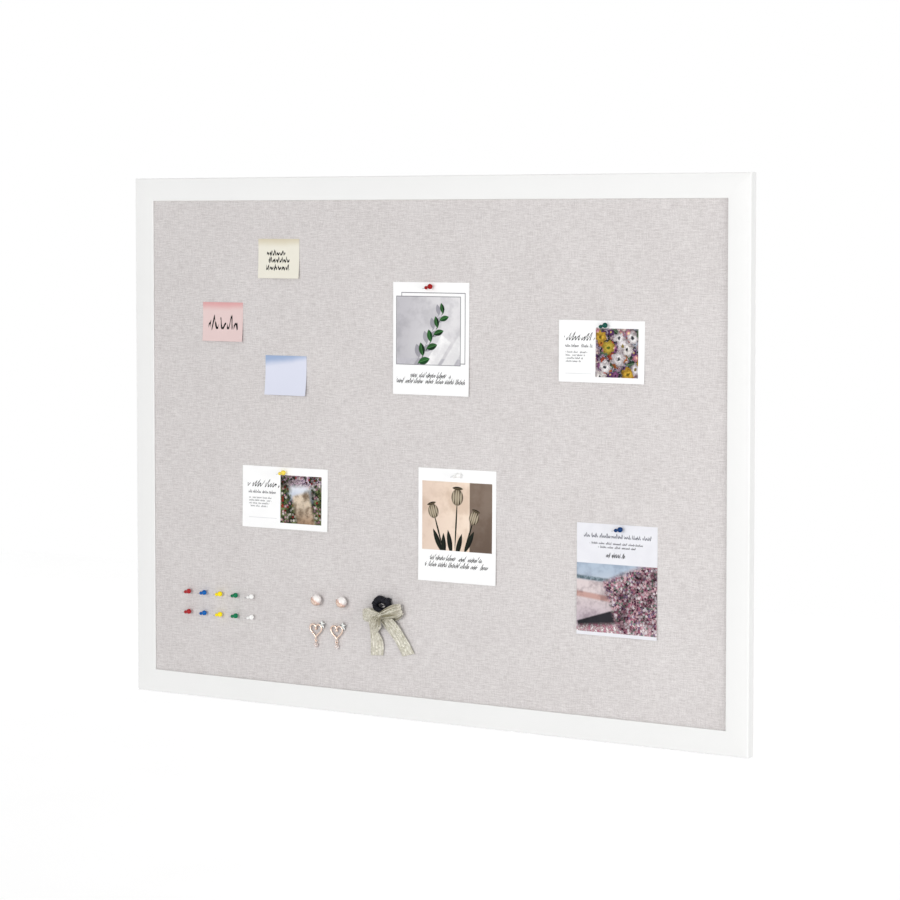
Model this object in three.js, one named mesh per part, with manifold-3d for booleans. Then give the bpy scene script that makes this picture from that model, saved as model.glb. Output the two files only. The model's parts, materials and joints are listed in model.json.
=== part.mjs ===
// A wide linen-covered cork board in a white mitred frame, with the cards, sticky notes, push pins
// and small keepsakes that it holds. Millimetres, +Z up. The origin is the middle of the back plane,
// which lies against the wall. The linen faces -Y, and +X is to the right of someone who looks at it.
import * as THREE from "three";
import { mergeVertices } from "three/addons/utils/BufferGeometryUtils.js";
import Module from "manifold-3d";

const wasm = await Module();
wasm.setup();

// Frame: four mitred rails with a rebate behind a thin front lip
const BOARD_WIDTH = 1219.2;
const BOARD_HEIGHT = 914.4;
const RAIL_FACE = 40;
const RAIL_DEPTH = 18;
const LIP_THICKNESS = 3;
const LIP_COVER = 12;
const FRONT_EDGE_RADIUS = 2;
const INNER_EDGE_RADIUS = 1.2;
const BACK_EDGE_RADIUS = 1;
const EDGE_STEPS = 4;
const MITRE_GAP = 0.3;

// Wooden tongue glued across each mitre
const TONGUE_WIDTH = 13;
const TONGUE_WALL = 3.4;
const TONGUE_THICKNESS = 4;
const TONGUE_FROM_BACK = 7;
const TONGUE_CLEARANCE = 0.3;

// Panel in the rebate: linen stretched over a cork sheet and a hardboard back
const PANEL_CLEARANCE = 1;
const LINEN_THICKNESS = 0.8;
const LINEN_TURNOVER = 30;
const CORK_THICKNESS = 6;
const BACKING_THICKNESS = 4;
const GLUE_LINE = 0.1;

// Flat steel points pressed into the rails behind the panel
const POINT_WIDTH = 9;
const POINT_REACH = 10;
const POINT_BITE = 8;
const POINT_THICKNESS = 0.8;
const POINT_CLEARANCE = 0.2;
const POINT_SPREAD_X = 360;
const POINT_SPREAD_Z = 240;

// Strap hangers with a loose ring, let into the back of both upright rails
const HANGER_BELOW_TOP = 170;
const STRAP_WIDTH = 12;
const STRAP_LENGTH = 30;
const STRAP_THICKNESS = 1.2;
const RING_WIRE_RADIUS = 1.3;
const RING_CLEARANCE = 0.3;
const RING_INNER_WIDTH = 13.6;
const RING_HEIGHT = 17;
const RING_LEAN = THREE.MathUtils.degToRad(3);
const RING_SIDES = 8;
const RING_ARC_STEPS = 12;
const POCKET_MARGIN = 3;
const POCKET_SPARE_DEPTH = 0.6;
const SCREW_HEAD_RADIUS = 3.4;
const SCREW_HEAD_HEIGHT = 1.8;
const SCREW_SHANK_RADIUS = 1.5;
const SCREW_LENGTH = 9;
const SCREW_FROM_END = 8;
const SCREW_CLEARANCE = 0.3;

// Push pins: needle, collar, waist and round head on one axis that leans right and a little up
const NEEDLE_RADIUS = 0.5;
const NEEDLE_LENGTH = 14.5;
const NEEDLE_POINT = 2;
const NEEDLE_CLEARANCE = 0.2;
const COLLAR_RADIUS = 2.9;
const COLLAR_HEIGHT = 3.6;
const WAIST_RADIUS = 1.9;
const WAIST_HEIGHT = 6.2;
const HEAD_RADIUS = 4.4;
const HEAD_HEIGHT = 7.6;
const PIN_LEAN = THREE.MathUtils.degToRad(70);
const PIN_RISE = THREE.MathUtils.degToRad(12);
const PIN_ROUGHNESS = 0.3;
const PIN_SIDES = 10;
const COLLAR_STEPS = 4;
const HEAD_STEPS = 6;
const HOLE_SIDES = 8;

// Spare pins: two rows of five, measured from the lower left corner of the opening
const PIN_COLOURS = { red: 0xb92b33, blue: 0x0b55ac, yellow: 0xf3dc2c, green: 0x0d7350, white: 0xf1f1ee };
const SPARE_FROM_LEFT = 60;
const SPARE_FROM_BOTTOM = 106;
const SPARE_PITCH = 34.4;
const SPARE_ROW_PITCH = 36;
const SPARE_ROWS = { upper: 1, lower: 0 };

// Cards: each hangs on one pin near its top edge, pinBeside to the left of its middle
const CARD_THICKNESS = 0.4;
const SEAT_GAP = 0.3;
const CARDS = [
  { name: "sprig", width: 151, height: 188, side: 0, x: 16.7, top: 280, pin: "red", pinDrop: 11,
    pinBeside: 17 },
  { name: "bouquet", width: 158, height: 100, side: 1, x: -226.6, top: 222.5, pin: "green", pinDrop: 11.5,
    pinBeside: 9.5 },
  { name: "garden", width: 181, height: 107, side: -1, x: 285.1, top: -42.5, pin: "yellow", pinDrop: 13,
    pinBeside: 18 },
  { name: "tulip", width: 153, height: 189, side: 0, x: 68.3, top: -29.5, pin: "white", pinDrop: 13.5,
    pinBeside: 13 },
  { name: "blossom", width: 148, height: 181, side: 1, x: -197.2, top: -104, pin: "blue", pinDrop: 11,
    pinBeside: 10 },
];

// Sticky notes: held by a strip along the top, with a lower edge that curls away from the linen
const NOTE_WIDTH = 87;
const NOTE_HEIGHT = 68;
const NOTE_THICKNESS = 0.3;
const NOTE_STRIP = 16;
const NOTE_CURL = 6;
const NOTE_STEPS = 8;
const NOTES = [
  { name: "note_yellow", colour: 0xece6cf, fromLeft: 230, fromTop: 66 },
  { name: "note_pink", colour: 0xe6c6c3, fromLeft: 109, fromTop: 177 },
  { name: "note_blue", colour: 0xd9deee, fromLeft: 244.5, fromTop: 267 },
];

// Pearl studs: a pearl in a shallow cup on a post
const POST_RADIUS = 0.5;
const POST_BITE = 9;
const PEARL_RADIUS = 9.2;
const CUP_WALL = 0.5;
const CUP_OVERLAP = 2.2;
const CUP_DIRECTION = new THREE.Vector3(-0.62, -0.2, -0.76).normalize();
const PEARL_SIDES = 16;
const PEARL_RINGS = 10;
const STUDS_FROM_LEFT = 357.8;
const STUDS_FROM_BOTTOM = 151;
const STUD_PITCH = 52.5;

// Heart earrings: a wire heart on a post, with a bead, a star and a drop that swings below
const HEART_WIDTH = 24;
const HEART_HEIGHT = 23;
const HEART_WIRE_RADIUS = 1.5;
const HEART_STEPS = 36;
const WIRE_SIDES = 6;
const HEART_STANDOFF = 2;
const BEAD_RADIUS = 2.3;
const BEAD_SIDES = 10;
const BEAD_RINGS = 6;
const STAR_RADIUS = 6.6;
const STAR_INNER_RADIUS = 3.1;
const STAR_POINTS = 5;
const STAR_THICKNESS = 2.4;
const STAR_X = 12.8;
const STAR_Z = 9.5;
const EYE_RADIUS = 2.2;
const EYE_WIRE_RADIUS = 0.6;
const EYE_STEPS = 12;
const DROP_STONE_RADIUS = 3.6;
const HEART_CURVE = [13, -5, -2, -1];
const HEART_CURVE_RISE = 29;
const HEARTS_FROM_LEFT = 352.8;
const HEARTS_FROM_BOTTOM = 98.5;
const HEART_PITCH = 43.5;

// Hair tie: a gathered black ring that hangs on a nail, with a ribbon bow tied to its lower side
const TIE_FROM_LEFT = 491.5;
const TIE_FROM_BOTTOM = 151.5;
const TIE_HALF_WIDTH = 12.6;
const TIE_HALF_HEIGHT = 9;
const TIE_TUBE_RADIUS = 6;
const TIE_CRINKLE = 0.8;
const TIE_CRINKLES = 9;
const TIE_STEPS = 36;
const TIE_SIDES = 8;
const NAIL_TURN = THREE.MathUtils.degToRad(52);
const NAIL_RADIUS = 1;
const NAIL_HEAD_RADIUS = 2.6;
const NAIL_HEAD_HEIGHT = 1.2;
const NAIL_BITE = 9;
const NAIL_SIDES = 12;

const RIBBON_THICKNESS = 0.8;
const RIBBON_WIDTH = 27;
const RIBBON_GATHER = 9;
const RIBBON_ACROSS = 5;
const RIBBON_FOLD = 1.4;
const RIBBON_WAVES = 1.5;
const RIBBON_STEPS = 12;
const BOW_BELOW_TIE = 17.5;
const BOW_OUT = 9;
const KNOT_WIDTH = 11;
const KNOT_HEIGHT = 13;
const KNOT_DEPTH = 15;
const LOOP_DEPTH = 9;
const TAIL_FLARE = 0.5;
const LOOPS = [
  { side: -1, length: 35, tilt: THREE.MathUtils.degToRad(-4) },
  { side: 1, length: 43, tilt: THREE.MathUtils.degToRad(15) },
];
const TAILS = [
  { endX: -8, endZ: -73, sway: 7 },
  { endX: 55, endZ: -68, sway: -4 },
];

const MERGE_DISTANCE = 1e-4;
const OVERCUT = 1;

// Planes and edges that pieces share
const OPENING_X = BOARD_WIDTH / 2 - RAIL_FACE;
const OPENING_Z = BOARD_HEIGHT / 2 - RAIL_FACE;
const LINEN_FRONT = -(RAIL_DEPTH - LIP_THICKNESS) + GLUE_LINE;
const CORK_FRONT = LINEN_FRONT + LINEN_THICKNESS + GLUE_LINE;
const BACKING_FRONT = CORK_FRONT + CORK_THICKNESS + GLUE_LINE;
const BACKING_REAR = BACKING_FRONT + BACKING_THICKNESS;
const LINEN_REAR = BACKING_REAR + GLUE_LINE + LINEN_THICKNESS;
const PANEL_X = OPENING_X + LIP_COVER - PANEL_CLEARANCE;
const PANEL_Z = OPENING_Z + LIP_COVER - PANEL_CLEARANCE;
const CARD_BACK = LINEN_FRONT - SEAT_GAP;
const CARD_FRONT = CARD_BACK - CARD_THICKNESS;
const CARD_MIDDLE = (CARD_BACK + CARD_FRONT) / 2;

const OUT = new THREE.Vector3(0, -1, 0);
const UP = new THREE.Vector3(0, 0, 1);
const PIN_AXIS = new THREE.Vector3(
  Math.sin(PIN_LEAN) * Math.cos(PIN_RISE),
  -Math.cos(PIN_LEAN),
  Math.sin(PIN_LEAN) * Math.sin(PIN_RISE),
);

const finish = (color, roughness, metalness = 0) =>
  new THREE.MeshStandardMaterial({ color, roughness, metalness });
const WHITE_PAINT = finish(0xf2f2f2, 0.45);
const LINEN = finish(0xd8d2d0, 0.9);
const CORK = finish(0xb98a58, 0.95);
const HARDBOARD = finish(0x7a5a3c, 0.85);
const BARE_WOOD = finish(0xd9bd92, 0.8);
const STEEL = finish(0xb8babd, 0.35, 1);
const CARD_STOCK = finish(0xf7f7f7, 0.7);
const PEARL = finish(0xf3ede6, 0.2);
const ROSE_GOLD = finish(0xdba183, 0.3, 1);
const BLACK_CLOTH = finish(0x17171b, 0.9);
const BLACK_STEEL = finish(0x202022, 0.4, 0.6);
const RIBBON = finish(0xcfcdb9, 0.6);

// Solids

function solidOf(geometry) {
  const bare = geometry.clone();
  bare.deleteAttribute("normal");
  bare.deleteAttribute("uv");
  const merged = mergeVertices(bare, MERGE_DISTANCE);
  const mesh = new wasm.Mesh({
    numProp: 3,
    vertProperties: merged.attributes.position.array,
    triVerts: new Uint32Array(merged.index.array),
  });
  return new wasm.Manifold(mesh);
}

function geometryOf(solid) {
  const mesh = solid.getMesh();
  const geometry = new THREE.BufferGeometry();
  geometry.setAttribute("position", new THREE.BufferAttribute(mesh.vertProperties, 3));
  geometry.setIndex(new THREE.BufferAttribute(mesh.triVerts, 1));
  return geometry;
}

function join(...geometries) {
  const solids = geometries.map(solidOf);
  return geometryOf(solids.reduce((whole, piece) => whole.add(piece)));
}

function cut(geometry, ...tools) {
  const solids = tools.map(solidOf);
  return geometryOf(solids.reduce((rest, tool) => rest.subtract(tool), solidOf(geometry)));
}

function common(geometry, other) {
  return geometryOf(solidOf(geometry).intersect(solidOf(other)));
}

function box(low, high) {
  const size = high.clone().sub(low);
  const middle = high.clone().add(low).divideScalar(2);
  return new THREE.BoxGeometry(size.x, size.y, size.z).translate(middle.x, middle.y, middle.z);
}

const slab = (halfX, front, rear, halfZ) =>
  box(new THREE.Vector3(-halfX, front, -halfZ), new THREE.Vector3(halfX, rear, halfZ));

// A skin through sections that have the same number of points, either capped or closed on itself.
// Each section runs clockwise for someone who looks along the row of sections.
function loft(sections, closed) {
  const count = sections[0].length;
  const faces = [];
  const rings = closed ? sections.length : sections.length - 1;
  for (let ring = 0; ring < rings; ring++) {
    const here = ring * count;
    const next = ((ring + 1) % sections.length) * count;
    for (let i = 0; i < count; i++) {
      const j = (i + 1) % count;
      faces.push(here + i, next + j, here + j, here + i, next + i, next + j);
    }
  }
  if (!closed) {
    const last = (sections.length - 1) * count;
    for (let i = 0; i < count / 2 - 1; i++) {
      const j = count - 1 - i;
      faces.push(i, i + 1, j, i + 1, j - 1, j);
      faces.push(last + i + 1, last + i, last + j, last + i + 1, last + j, last + j - 1);
    }
  }
  const geometry = new THREE.BufferGeometry();
  const corners = sections.flat().flatMap((point) => [point.x, point.y, point.z]);
  geometry.setAttribute("position", new THREE.Float32BufferAttribute(corners, 3));
  geometry.setIndex(faces);
  return geometry;
}

// A round wire that follows a flat closed loop. The loop runs anticlockwise seen against normal.
function wireLoop(points, normal, radiusAt, sides) {
  const sections = points.map((point, i) => {
    const before = points[(i + points.length - 1) % points.length];
    const after = points[(i + 1) % points.length];
    const along = after.clone().sub(before).normalize();
    const outward = along.clone().cross(normal);
    return Array.from({ length: sides }, (_, k) => {
      const turn = (2 * Math.PI * k) / sides;
      return point
        .clone()
        .addScaledVector(outward, radiusAt(i) * Math.cos(turn))
        .addScaledVector(normal, radiusAt(i) * Math.sin(turn));
    });
  });
  return loft(sections, true);
}

const onXZ = (x, z) => new THREE.Vector3(x, 0, z);

// Hole tool of an axis along local Y that clears a round shank.
function holeTool(radius, clearance, from, to) {
  const across = (radius + clearance) / Math.cos(Math.PI / HOLE_SIDES);
  const tool = new THREE.CylinderGeometry(across, across, to - from, HOLE_SIDES);
  return tool.translate(0, (from + to) / 2, 0);
}

// Scene graph

const board = new THREE.Group();
const panelHoles = [];

function addMesh(parent, name, geometry, material) {
  const mesh = new THREE.Mesh(geometry, material);
  mesh.name = name;
  parent.add(mesh);
  return mesh;
}

// Brings the origin to position and local +Y to axis.
function stand(position, axis) {
  const turn = new THREE.Quaternion().setFromUnitVectors(new THREE.Vector3(0, 1, 0), axis);
  return new THREE.Matrix4().compose(position, turn, new THREE.Vector3(1, 1, 1));
}

// A group whose local +Y points along axis, away from the board.
function standing(position, axis) {
  const group = new THREE.Group();
  group.applyMatrix4(stand(position, axis));
  board.add(group);
  return group;
}

// Hole in the panel for a round shank that runs from position against axis.
function addPanelHole(position, axis, radius, bite) {
  const hole = holeTool(radius, NEEDLE_CLEARANCE, -bite - NEEDLE_CLEARANCE, SEAT_GAP);
  panelHoles.push(hole.applyMatrix4(stand(position, axis)));
}

// Frame rails

// Section of a rail: x runs inwards from the outer edge, y forwards from the wall.
function railSection() {
  const inner = RAIL_FACE - LIP_COVER;
  const lipBack = RAIL_DEPTH - LIP_THICKNESS;
  const shape = new THREE.Shape();
  shape.moveTo(BACK_EDGE_RADIUS, 0);
  shape.lineTo(inner, 0);
  shape.lineTo(inner, lipBack);
  shape.lineTo(RAIL_FACE, lipBack);
  const innerEdge = [RAIL_FACE - INNER_EDGE_RADIUS, RAIL_DEPTH - INNER_EDGE_RADIUS];
  shape.absarc(...innerEdge, INNER_EDGE_RADIUS, 0, Math.PI / 2);
  const frontEdge = [FRONT_EDGE_RADIUS, RAIL_DEPTH - FRONT_EDGE_RADIUS];
  shape.absarc(...frontEdge, FRONT_EDGE_RADIUS, Math.PI / 2, Math.PI);
  shape.absarc(BACK_EDGE_RADIUS, BACK_EDGE_RADIUS, BACK_EDGE_RADIUS, Math.PI, 1.5 * Math.PI);
  return shape;
}

// Four sides of the frame: turn about Y that brings the top rail's place to each side.
const LEVEL = { length: BOARD_WIDTH, outer: BOARD_HEIGHT / 2, pointSpread: POINT_SPREAD_X };
const UPRIGHT = { length: BOARD_HEIGHT, outer: BOARD_WIDTH / 2, pointSpread: POINT_SPREAD_Z };
const SIDES = [
  { name: "top", turn: 0, ...LEVEL },
  { name: "right", turn: Math.PI / 2, ...UPRIGHT },
  { name: "bottom", turn: Math.PI, ...LEVEL },
  { name: "left", turn: -Math.PI / 2, ...UPRIGHT },
];
const turned = (geometry, side) => geometry.rotateY(side.turn);

// A mitred rail along X with its outer edge up, at the height of the side's outer edge.
function railBlank(side) {
  const bar = new THREE.ExtrudeGeometry(railSection(), {
    depth: side.length, bevelEnabled: false, curveSegments: EDGE_STEPS,
  });
  const axes = new THREE.Matrix4().makeBasis(UP.clone().negate(), OUT, new THREE.Vector3(-1, 0, 0));
  bar.applyMatrix4(axes).translate(side.length / 2, 0, side.outer);
  const half = side.length / 2 - MITRE_GAP / Math.SQRT2;
  const mitre = new THREE.Shape();
  mitre.moveTo(-half, 0);
  mitre.lineTo(-half + RAIL_FACE, -RAIL_FACE);
  mitre.lineTo(half - RAIL_FACE, -RAIL_FACE);
  mitre.lineTo(half, 0);
  const wedge = new THREE.ExtrudeGeometry(mitre, { depth: RAIL_DEPTH, bevelEnabled: false });
  wedge.rotateX(Math.PI / 2).translate(0, 0, side.outer);
  return common(bar, wedge);
}

// The tongue lies flat across the mitre, half in each rail, where the rails have their full depth.
const TONGUE_CENTRE_IN = (RAIL_FACE - LIP_COVER) / 2;
const TONGUE_LENGTH = 2 * Math.SQRT2 * (TONGUE_CENTRE_IN - TONGUE_WALL) - TONGUE_WIDTH;
function tongue(spare) {
  const plate = new THREE.BoxGeometry(
    TONGUE_WIDTH + 2 * spare, TONGUE_THICKNESS + 2 * spare, TONGUE_LENGTH + 2 * spare,
  );
  return plate.rotateY(Math.PI / 4);
}
const CORNERS = [
  { name: "top_right", x: 1, z: 1 },
  { name: "bottom_right", x: 1, z: -1 },
  { name: "bottom_left", x: -1, z: -1 },
  { name: "top_left", x: -1, z: 1 },
];
function tonguePlace(corner) {
  const x = corner.x * (BOARD_WIDTH / 2 - TONGUE_CENTRE_IN);
  const z = corner.z * (BOARD_HEIGHT / 2 - TONGUE_CENTRE_IN);
  return new THREE.Vector3(x, -TONGUE_FROM_BACK - TONGUE_THICKNESS / 2, z);
}
const tongueTurn = (corner) => (corner.x * corner.z > 0 ? 0 : Math.PI / 2);
function tongueSlot(corner) {
  const place = tonguePlace(corner);
  return tongue(TONGUE_CLEARANCE).rotateY(tongueTurn(corner)).translate(place.x, place.y, place.z);
}

// A point on the top side: its tip is in the rail, and its other end lies behind the panel.
function pointOutline(spare) {
  const half = POINT_WIDTH / 2 + spare;
  const shape = new THREE.Shape();
  shape.moveTo(-half, -POINT_REACH);
  shape.lineTo(half, -POINT_REACH);
  shape.lineTo(half, POINT_BITE / 2 + spare);
  shape.lineTo(0, POINT_BITE + spare);
  shape.lineTo(-half, POINT_BITE / 2 + spare);
  return shape;
}
function pointPlate(side, x, spare) {
  const plate = new THREE.ExtrudeGeometry(pointOutline(spare), {
    depth: POINT_THICKNESS + 2 * spare, bevelEnabled: false,
  });
  const rear = LINEN_REAR + GLUE_LINE + POINT_THICKNESS + spare;
  const rebateWall = side.outer - RAIL_FACE + LIP_COVER;
  return turned(plate.rotateX(Math.PI / 2).translate(x, rear, rebateWall), side);
}

// Strap hangers

const LOOP_HOLE = RING_WIRE_RADIUS + RING_CLEARANCE;
const LOOP_RADIUS = LOOP_HOLE + STRAP_THICKNESS;
const POCKET_DEPTH = 2 * LOOP_RADIUS + GLUE_LINE + POCKET_SPARE_DEPTH;
const HANGER_X = BOARD_WIDTH / 2 - (RAIL_FACE - LIP_COVER) / 2;
const HANGER_Z = BOARD_HEIGHT / 2 - HANGER_BELOW_TOP;
const RING_HALF = RING_INNER_WIDTH / 2 + RING_WIRE_RADIUS;

function hangerPocket(sign) {
  const halfWidth = RING_HALF + RING_WIRE_RADIUS + POCKET_MARGIN;
  const low = new THREE.Vector3(-halfWidth, -POCKET_DEPTH, -STRAP_LENGTH - POCKET_MARGIN);
  const high = new THREE.Vector3(halfWidth, OVERCUT, RING_HEIGHT + POCKET_MARGIN);
  return box(low, high).translate(sign * HANGER_X, 0, HANGER_Z);
}

// Strap folded round the ring's straight bar. Local x is the rail's width, y points to the wall.
function strapGeometry() {
  const meet = Math.sqrt(LOOP_RADIUS ** 2 - (LOOP_RADIUS - STRAP_THICKNESS) ** 2);
  const shape = new THREE.Shape();
  shape.moveTo(0, -STRAP_LENGTH);
  shape.lineTo(STRAP_THICKNESS, -STRAP_LENGTH);
  shape.absarc(LOOP_RADIUS, 0, LOOP_RADIUS, Math.atan2(-meet, STRAP_THICKNESS - LOOP_RADIUS), Math.PI);
  const eye = new THREE.Path().absarc(LOOP_RADIUS, 0, LOOP_HOLE, 0, 2 * Math.PI);
  shape.holes.push(eye);
  const strap = new THREE.ExtrudeGeometry(shape, {
    depth: STRAP_WIDTH, bevelEnabled: false, curveSegments: RING_ARC_STEPS,
  });
  const axes = new THREE.Matrix4().makeBasis(OUT.clone().negate(), UP, new THREE.Vector3(1, 0, 0));
  strap.applyMatrix4(axes).translate(-STRAP_WIDTH / 2, 0, 0);
  const hole = holeTool(SCREW_SHANK_RADIUS, SCREW_CLEARANCE, -STRAP_THICKNESS, 2 * STRAP_THICKNESS);
  return cut(strap, hole.translate(0, 0, SCREW_FROM_END - STRAP_LENGTH));
}

function ringGeometry() {
  const points = [];
  const straight = RING_HEIGHT - RING_HALF;
  points.push(onXZ(-RING_HALF, 0), onXZ(-RING_HALF / 2, 0), onXZ(RING_HALF / 2, 0), onXZ(RING_HALF, 0));
  for (let i = 0; i <= RING_ARC_STEPS; i++) {
    const turn = (Math.PI * i) / RING_ARC_STEPS;
    points.push(onXZ(RING_HALF * Math.cos(turn), straight + RING_HALF * Math.sin(turn)));
  }
  return wireLoop(points, OUT, () => RING_WIRE_RADIUS, RING_SIDES);
}

function screwGeometry() {
  const profile = [
    new THREE.Vector2(0, -SCREW_LENGTH),
    new THREE.Vector2(SCREW_SHANK_RADIUS, -SCREW_LENGTH + 2 * SCREW_SHANK_RADIUS),
    new THREE.Vector2(SCREW_SHANK_RADIUS, 0),
    new THREE.Vector2(SCREW_HEAD_RADIUS, 0),
    new THREE.Vector2(SCREW_HEAD_RADIUS, SCREW_HEAD_HEIGHT / 2),
    new THREE.Vector2(SCREW_SHANK_RADIUS, SCREW_HEAD_HEIGHT),
    new THREE.Vector2(0, SCREW_HEAD_HEIGHT),
  ];
  return new THREE.LatheGeometry(profile, PIN_SIDES);
}
const SCREW_SEAT = -POCKET_DEPTH + GLUE_LINE + STRAP_THICKNESS + GLUE_LINE;
function screwHole(sign) {
  const hole = holeTool(SCREW_SHANK_RADIUS, SCREW_CLEARANCE, -SCREW_LENGTH - SCREW_CLEARANCE, 0);
  return hole.translate(sign * HANGER_X, SCREW_SEAT, HANGER_Z + SCREW_FROM_END - STRAP_LENGTH);
}

function addHanger(side, sign) {
  const hanger = new THREE.Group();
  hanger.position.set(sign * HANGER_X, -POCKET_DEPTH + GLUE_LINE, HANGER_Z);
  board.add(hanger);
  addMesh(hanger, "hanger_strap_" + side, strapGeometry(), STEEL);
  const ring = addMesh(hanger, "hanger_ring_" + side, ringGeometry(), STEEL);
  ring.position.y = LOOP_RADIUS;
  ring.rotation.x = RING_LEAN;
  const screw = addMesh(hanger, "hanger_screw_" + side, screwGeometry(), STEEL);
  screw.position.set(0, STRAP_THICKNESS + GLUE_LINE, SCREW_FROM_END - STRAP_LENGTH);
}

// Frame assembly

const POINT_PLACES = { first: -1, second: 1 };

function addFrame() {
  for (const side of SIDES) {
    const tools = CORNERS.map(tongueSlot);
    for (const [order, sign] of Object.entries(POINT_PLACES)) {
      const along = sign * side.pointSpread;
      tools.push(pointPlate(side, along, POINT_CLEARANCE));
      addMesh(board, "panel_point_" + side.name + "_" + order, pointPlate(side, along, 0), STEEL);
    }
    for (const sign of [-1, 1]) {
      tools.push(hangerPocket(sign), screwHole(sign));
    }
    addMesh(board, side.name + "_rail", cut(turned(railBlank(side), side), ...tools), WHITE_PAINT);
  }
  for (const corner of CORNERS) {
    const piece = addMesh(board, "mitre_tongue_" + corner.name, tongue(0), BARE_WOOD);
    piece.position.copy(tonguePlace(corner));
    piece.rotation.y = tongueTurn(corner);
  }
  addHanger("left", -1);
  addHanger("right", 1);
}

// Push pins

// Half outline of a pin. Height 0 is the underside of the collar.
function pinProfile() {
  const points = [
    new THREE.Vector2(0, -NEEDLE_LENGTH),
    new THREE.Vector2(NEEDLE_RADIUS, -NEEDLE_LENGTH + NEEDLE_POINT),
    new THREE.Vector2(NEEDLE_RADIUS, 0),
  ];
  for (let i = 0; i <= COLLAR_STEPS; i++) {
    const turn = -Math.PI / 2 + (Math.PI * i) / COLLAR_STEPS;
    const radius = WAIST_RADIUS + (COLLAR_RADIUS - WAIST_RADIUS) * Math.cos(turn);
    points.push(new THREE.Vector2(radius, (COLLAR_HEIGHT / 2) * (1 + Math.sin(turn))));
  }
  for (let i = 0; i <= HEAD_STEPS; i++) {
    const turn = -Math.PI / 2 + (Math.PI * i) / HEAD_STEPS;
    const core = turn < 0 ? WAIST_RADIUS : 0;
    const radius = i === HEAD_STEPS ? 0 : core + (HEAD_RADIUS - core) * Math.cos(turn);
    const height = COLLAR_HEIGHT + WAIST_HEIGHT + (HEAD_HEIGHT / 2) * (1 + Math.sin(turn));
    points.push(new THREE.Vector2(radius, height));
  }
  return points;
}

// Least height of the collar's underside along the pin, so that the leaning pin clears its seat.
function collarStandoff() {
  const needs = pinProfile()
    .filter((point) => point.y >= 0)
    .map((point) => (SEAT_GAP + point.x * Math.sin(PIN_LEAN)) / Math.cos(PIN_LEAN) - point.y);
  return Math.max(...needs);
}

// A pin whose needle passes through the point (x, through, z), with its collar clear of seat.
function addPin(name, colour, x, z, through, seat) {
  const standoff = collarStandoff() + (through - seat) / Math.cos(PIN_LEAN);
  const place = new THREE.Vector3(x, through, z).addScaledVector(PIN_AXIS, standoff);
  const group = standing(place, PIN_AXIS);
  const body = new THREE.LatheGeometry(pinProfile(), PIN_SIDES);
  addMesh(group, name, body, finish(PIN_COLOURS[colour], PIN_ROUGHNESS));
  addPanelHole(place, PIN_AXIS, NEEDLE_RADIUS, NEEDLE_LENGTH);
}

function addSparePins() {
  for (const [row, step] of Object.entries(SPARE_ROWS)) {
    Object.keys(PIN_COLOURS).forEach((colour, i) => {
      const x = -OPENING_X + SPARE_FROM_LEFT + i * SPARE_PITCH;
      const z = -OPENING_Z + SPARE_FROM_BOTTOM + step * SPARE_ROW_PITCH;
      addPin("spare_pin_" + row + "_" + colour, colour, x, z, LINEN_FRONT, LINEN_FRONT);
    });
  }
}

// Cards and notes

// The hole lets the card turn about the leaning needle.
const CARD_HOLE_RADIUS = (CARD_THICKNESS / 2) * Math.tan(PIN_LEAN) + NEEDLE_RADIUS / Math.cos(PIN_LEAN);

function addCard(card) {
  const middle = card.side * OPENING_X + card.x;
  const pinX = middle - card.pinBeside;
  const pinZ = card.top - card.pinDrop;
  const hung = new THREE.Group();
  hung.position.set(pinX, CARD_MIDDLE, pinZ);
  board.add(hung);
  const sheet = new THREE.BoxGeometry(card.width, CARD_THICKNESS, card.height);
  sheet.translate(card.pinBeside, 0, card.pinDrop - card.height / 2);
  const hole = holeTool(CARD_HOLE_RADIUS, NEEDLE_CLEARANCE, -CARD_THICKNESS, CARD_THICKNESS);
  addMesh(hung, card.name + "_card", cut(sheet, hole), CARD_STOCK);
  addPin(card.name + "_card_pin", card.pin, pinX, pinZ, CARD_MIDDLE, CARD_FRONT);
}

// Side outline of a note: flat along the strip, then curling away from the linen.
function noteGeometry() {
  const free = NOTE_HEIGHT - NOTE_STRIP;
  const curlAt = (drop) => -NOTE_CURL * (Math.max(0, drop - NOTE_STRIP) / free) ** 2;
  const drops = [0];
  for (let i = 0; i <= NOTE_STEPS; i++) {
    drops.push(NOTE_STRIP + (free * i) / NOTE_STEPS);
  }
  const sections = drops.map((drop) => {
    const back = curlAt(drop);
    const front = back - NOTE_THICKNESS;
    return [
      new THREE.Vector3(0, front, -drop),
      new THREE.Vector3(NOTE_WIDTH, front, -drop),
      new THREE.Vector3(NOTE_WIDTH, back, -drop),
      new THREE.Vector3(0, back, -drop),
    ];
  });
  return loft(sections, false);
}

function addNote(note) {
  const sheet = addMesh(board, note.name, noteGeometry(), finish(note.colour, 0.85));
  sheet.position.set(-OPENING_X + note.fromLeft, LINEN_FRONT - SEAT_GAP, OPENING_Z - note.fromTop);
}

// Earrings

// Post from the back of an earring into the board, along local Y.
function postGeometry(reach) {
  const post = new THREE.CylinderGeometry(POST_RADIUS, POST_RADIUS, reach + POST_BITE, PIN_SIDES);
  return post.translate(0, (reach - POST_BITE) / 2, 0);
}

function ball(radius, sides, rings) {
  const profile = [];
  for (let i = 0; i <= rings; i++) {
    const turn = (Math.PI * i) / rings;
    const across = i % rings ? radius * Math.sin(turn) : 0;
    profile.push(new THREE.Vector2(across, -radius * Math.cos(turn)));
  }
  return new THREE.LatheGeometry(profile, sides);
}
const pearlBall = (radius) => ball(radius, PEARL_SIDES, PEARL_RINGS);
const beadBall = (radius) => ball(radius, BEAD_SIDES, BEAD_RINGS);

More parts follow.
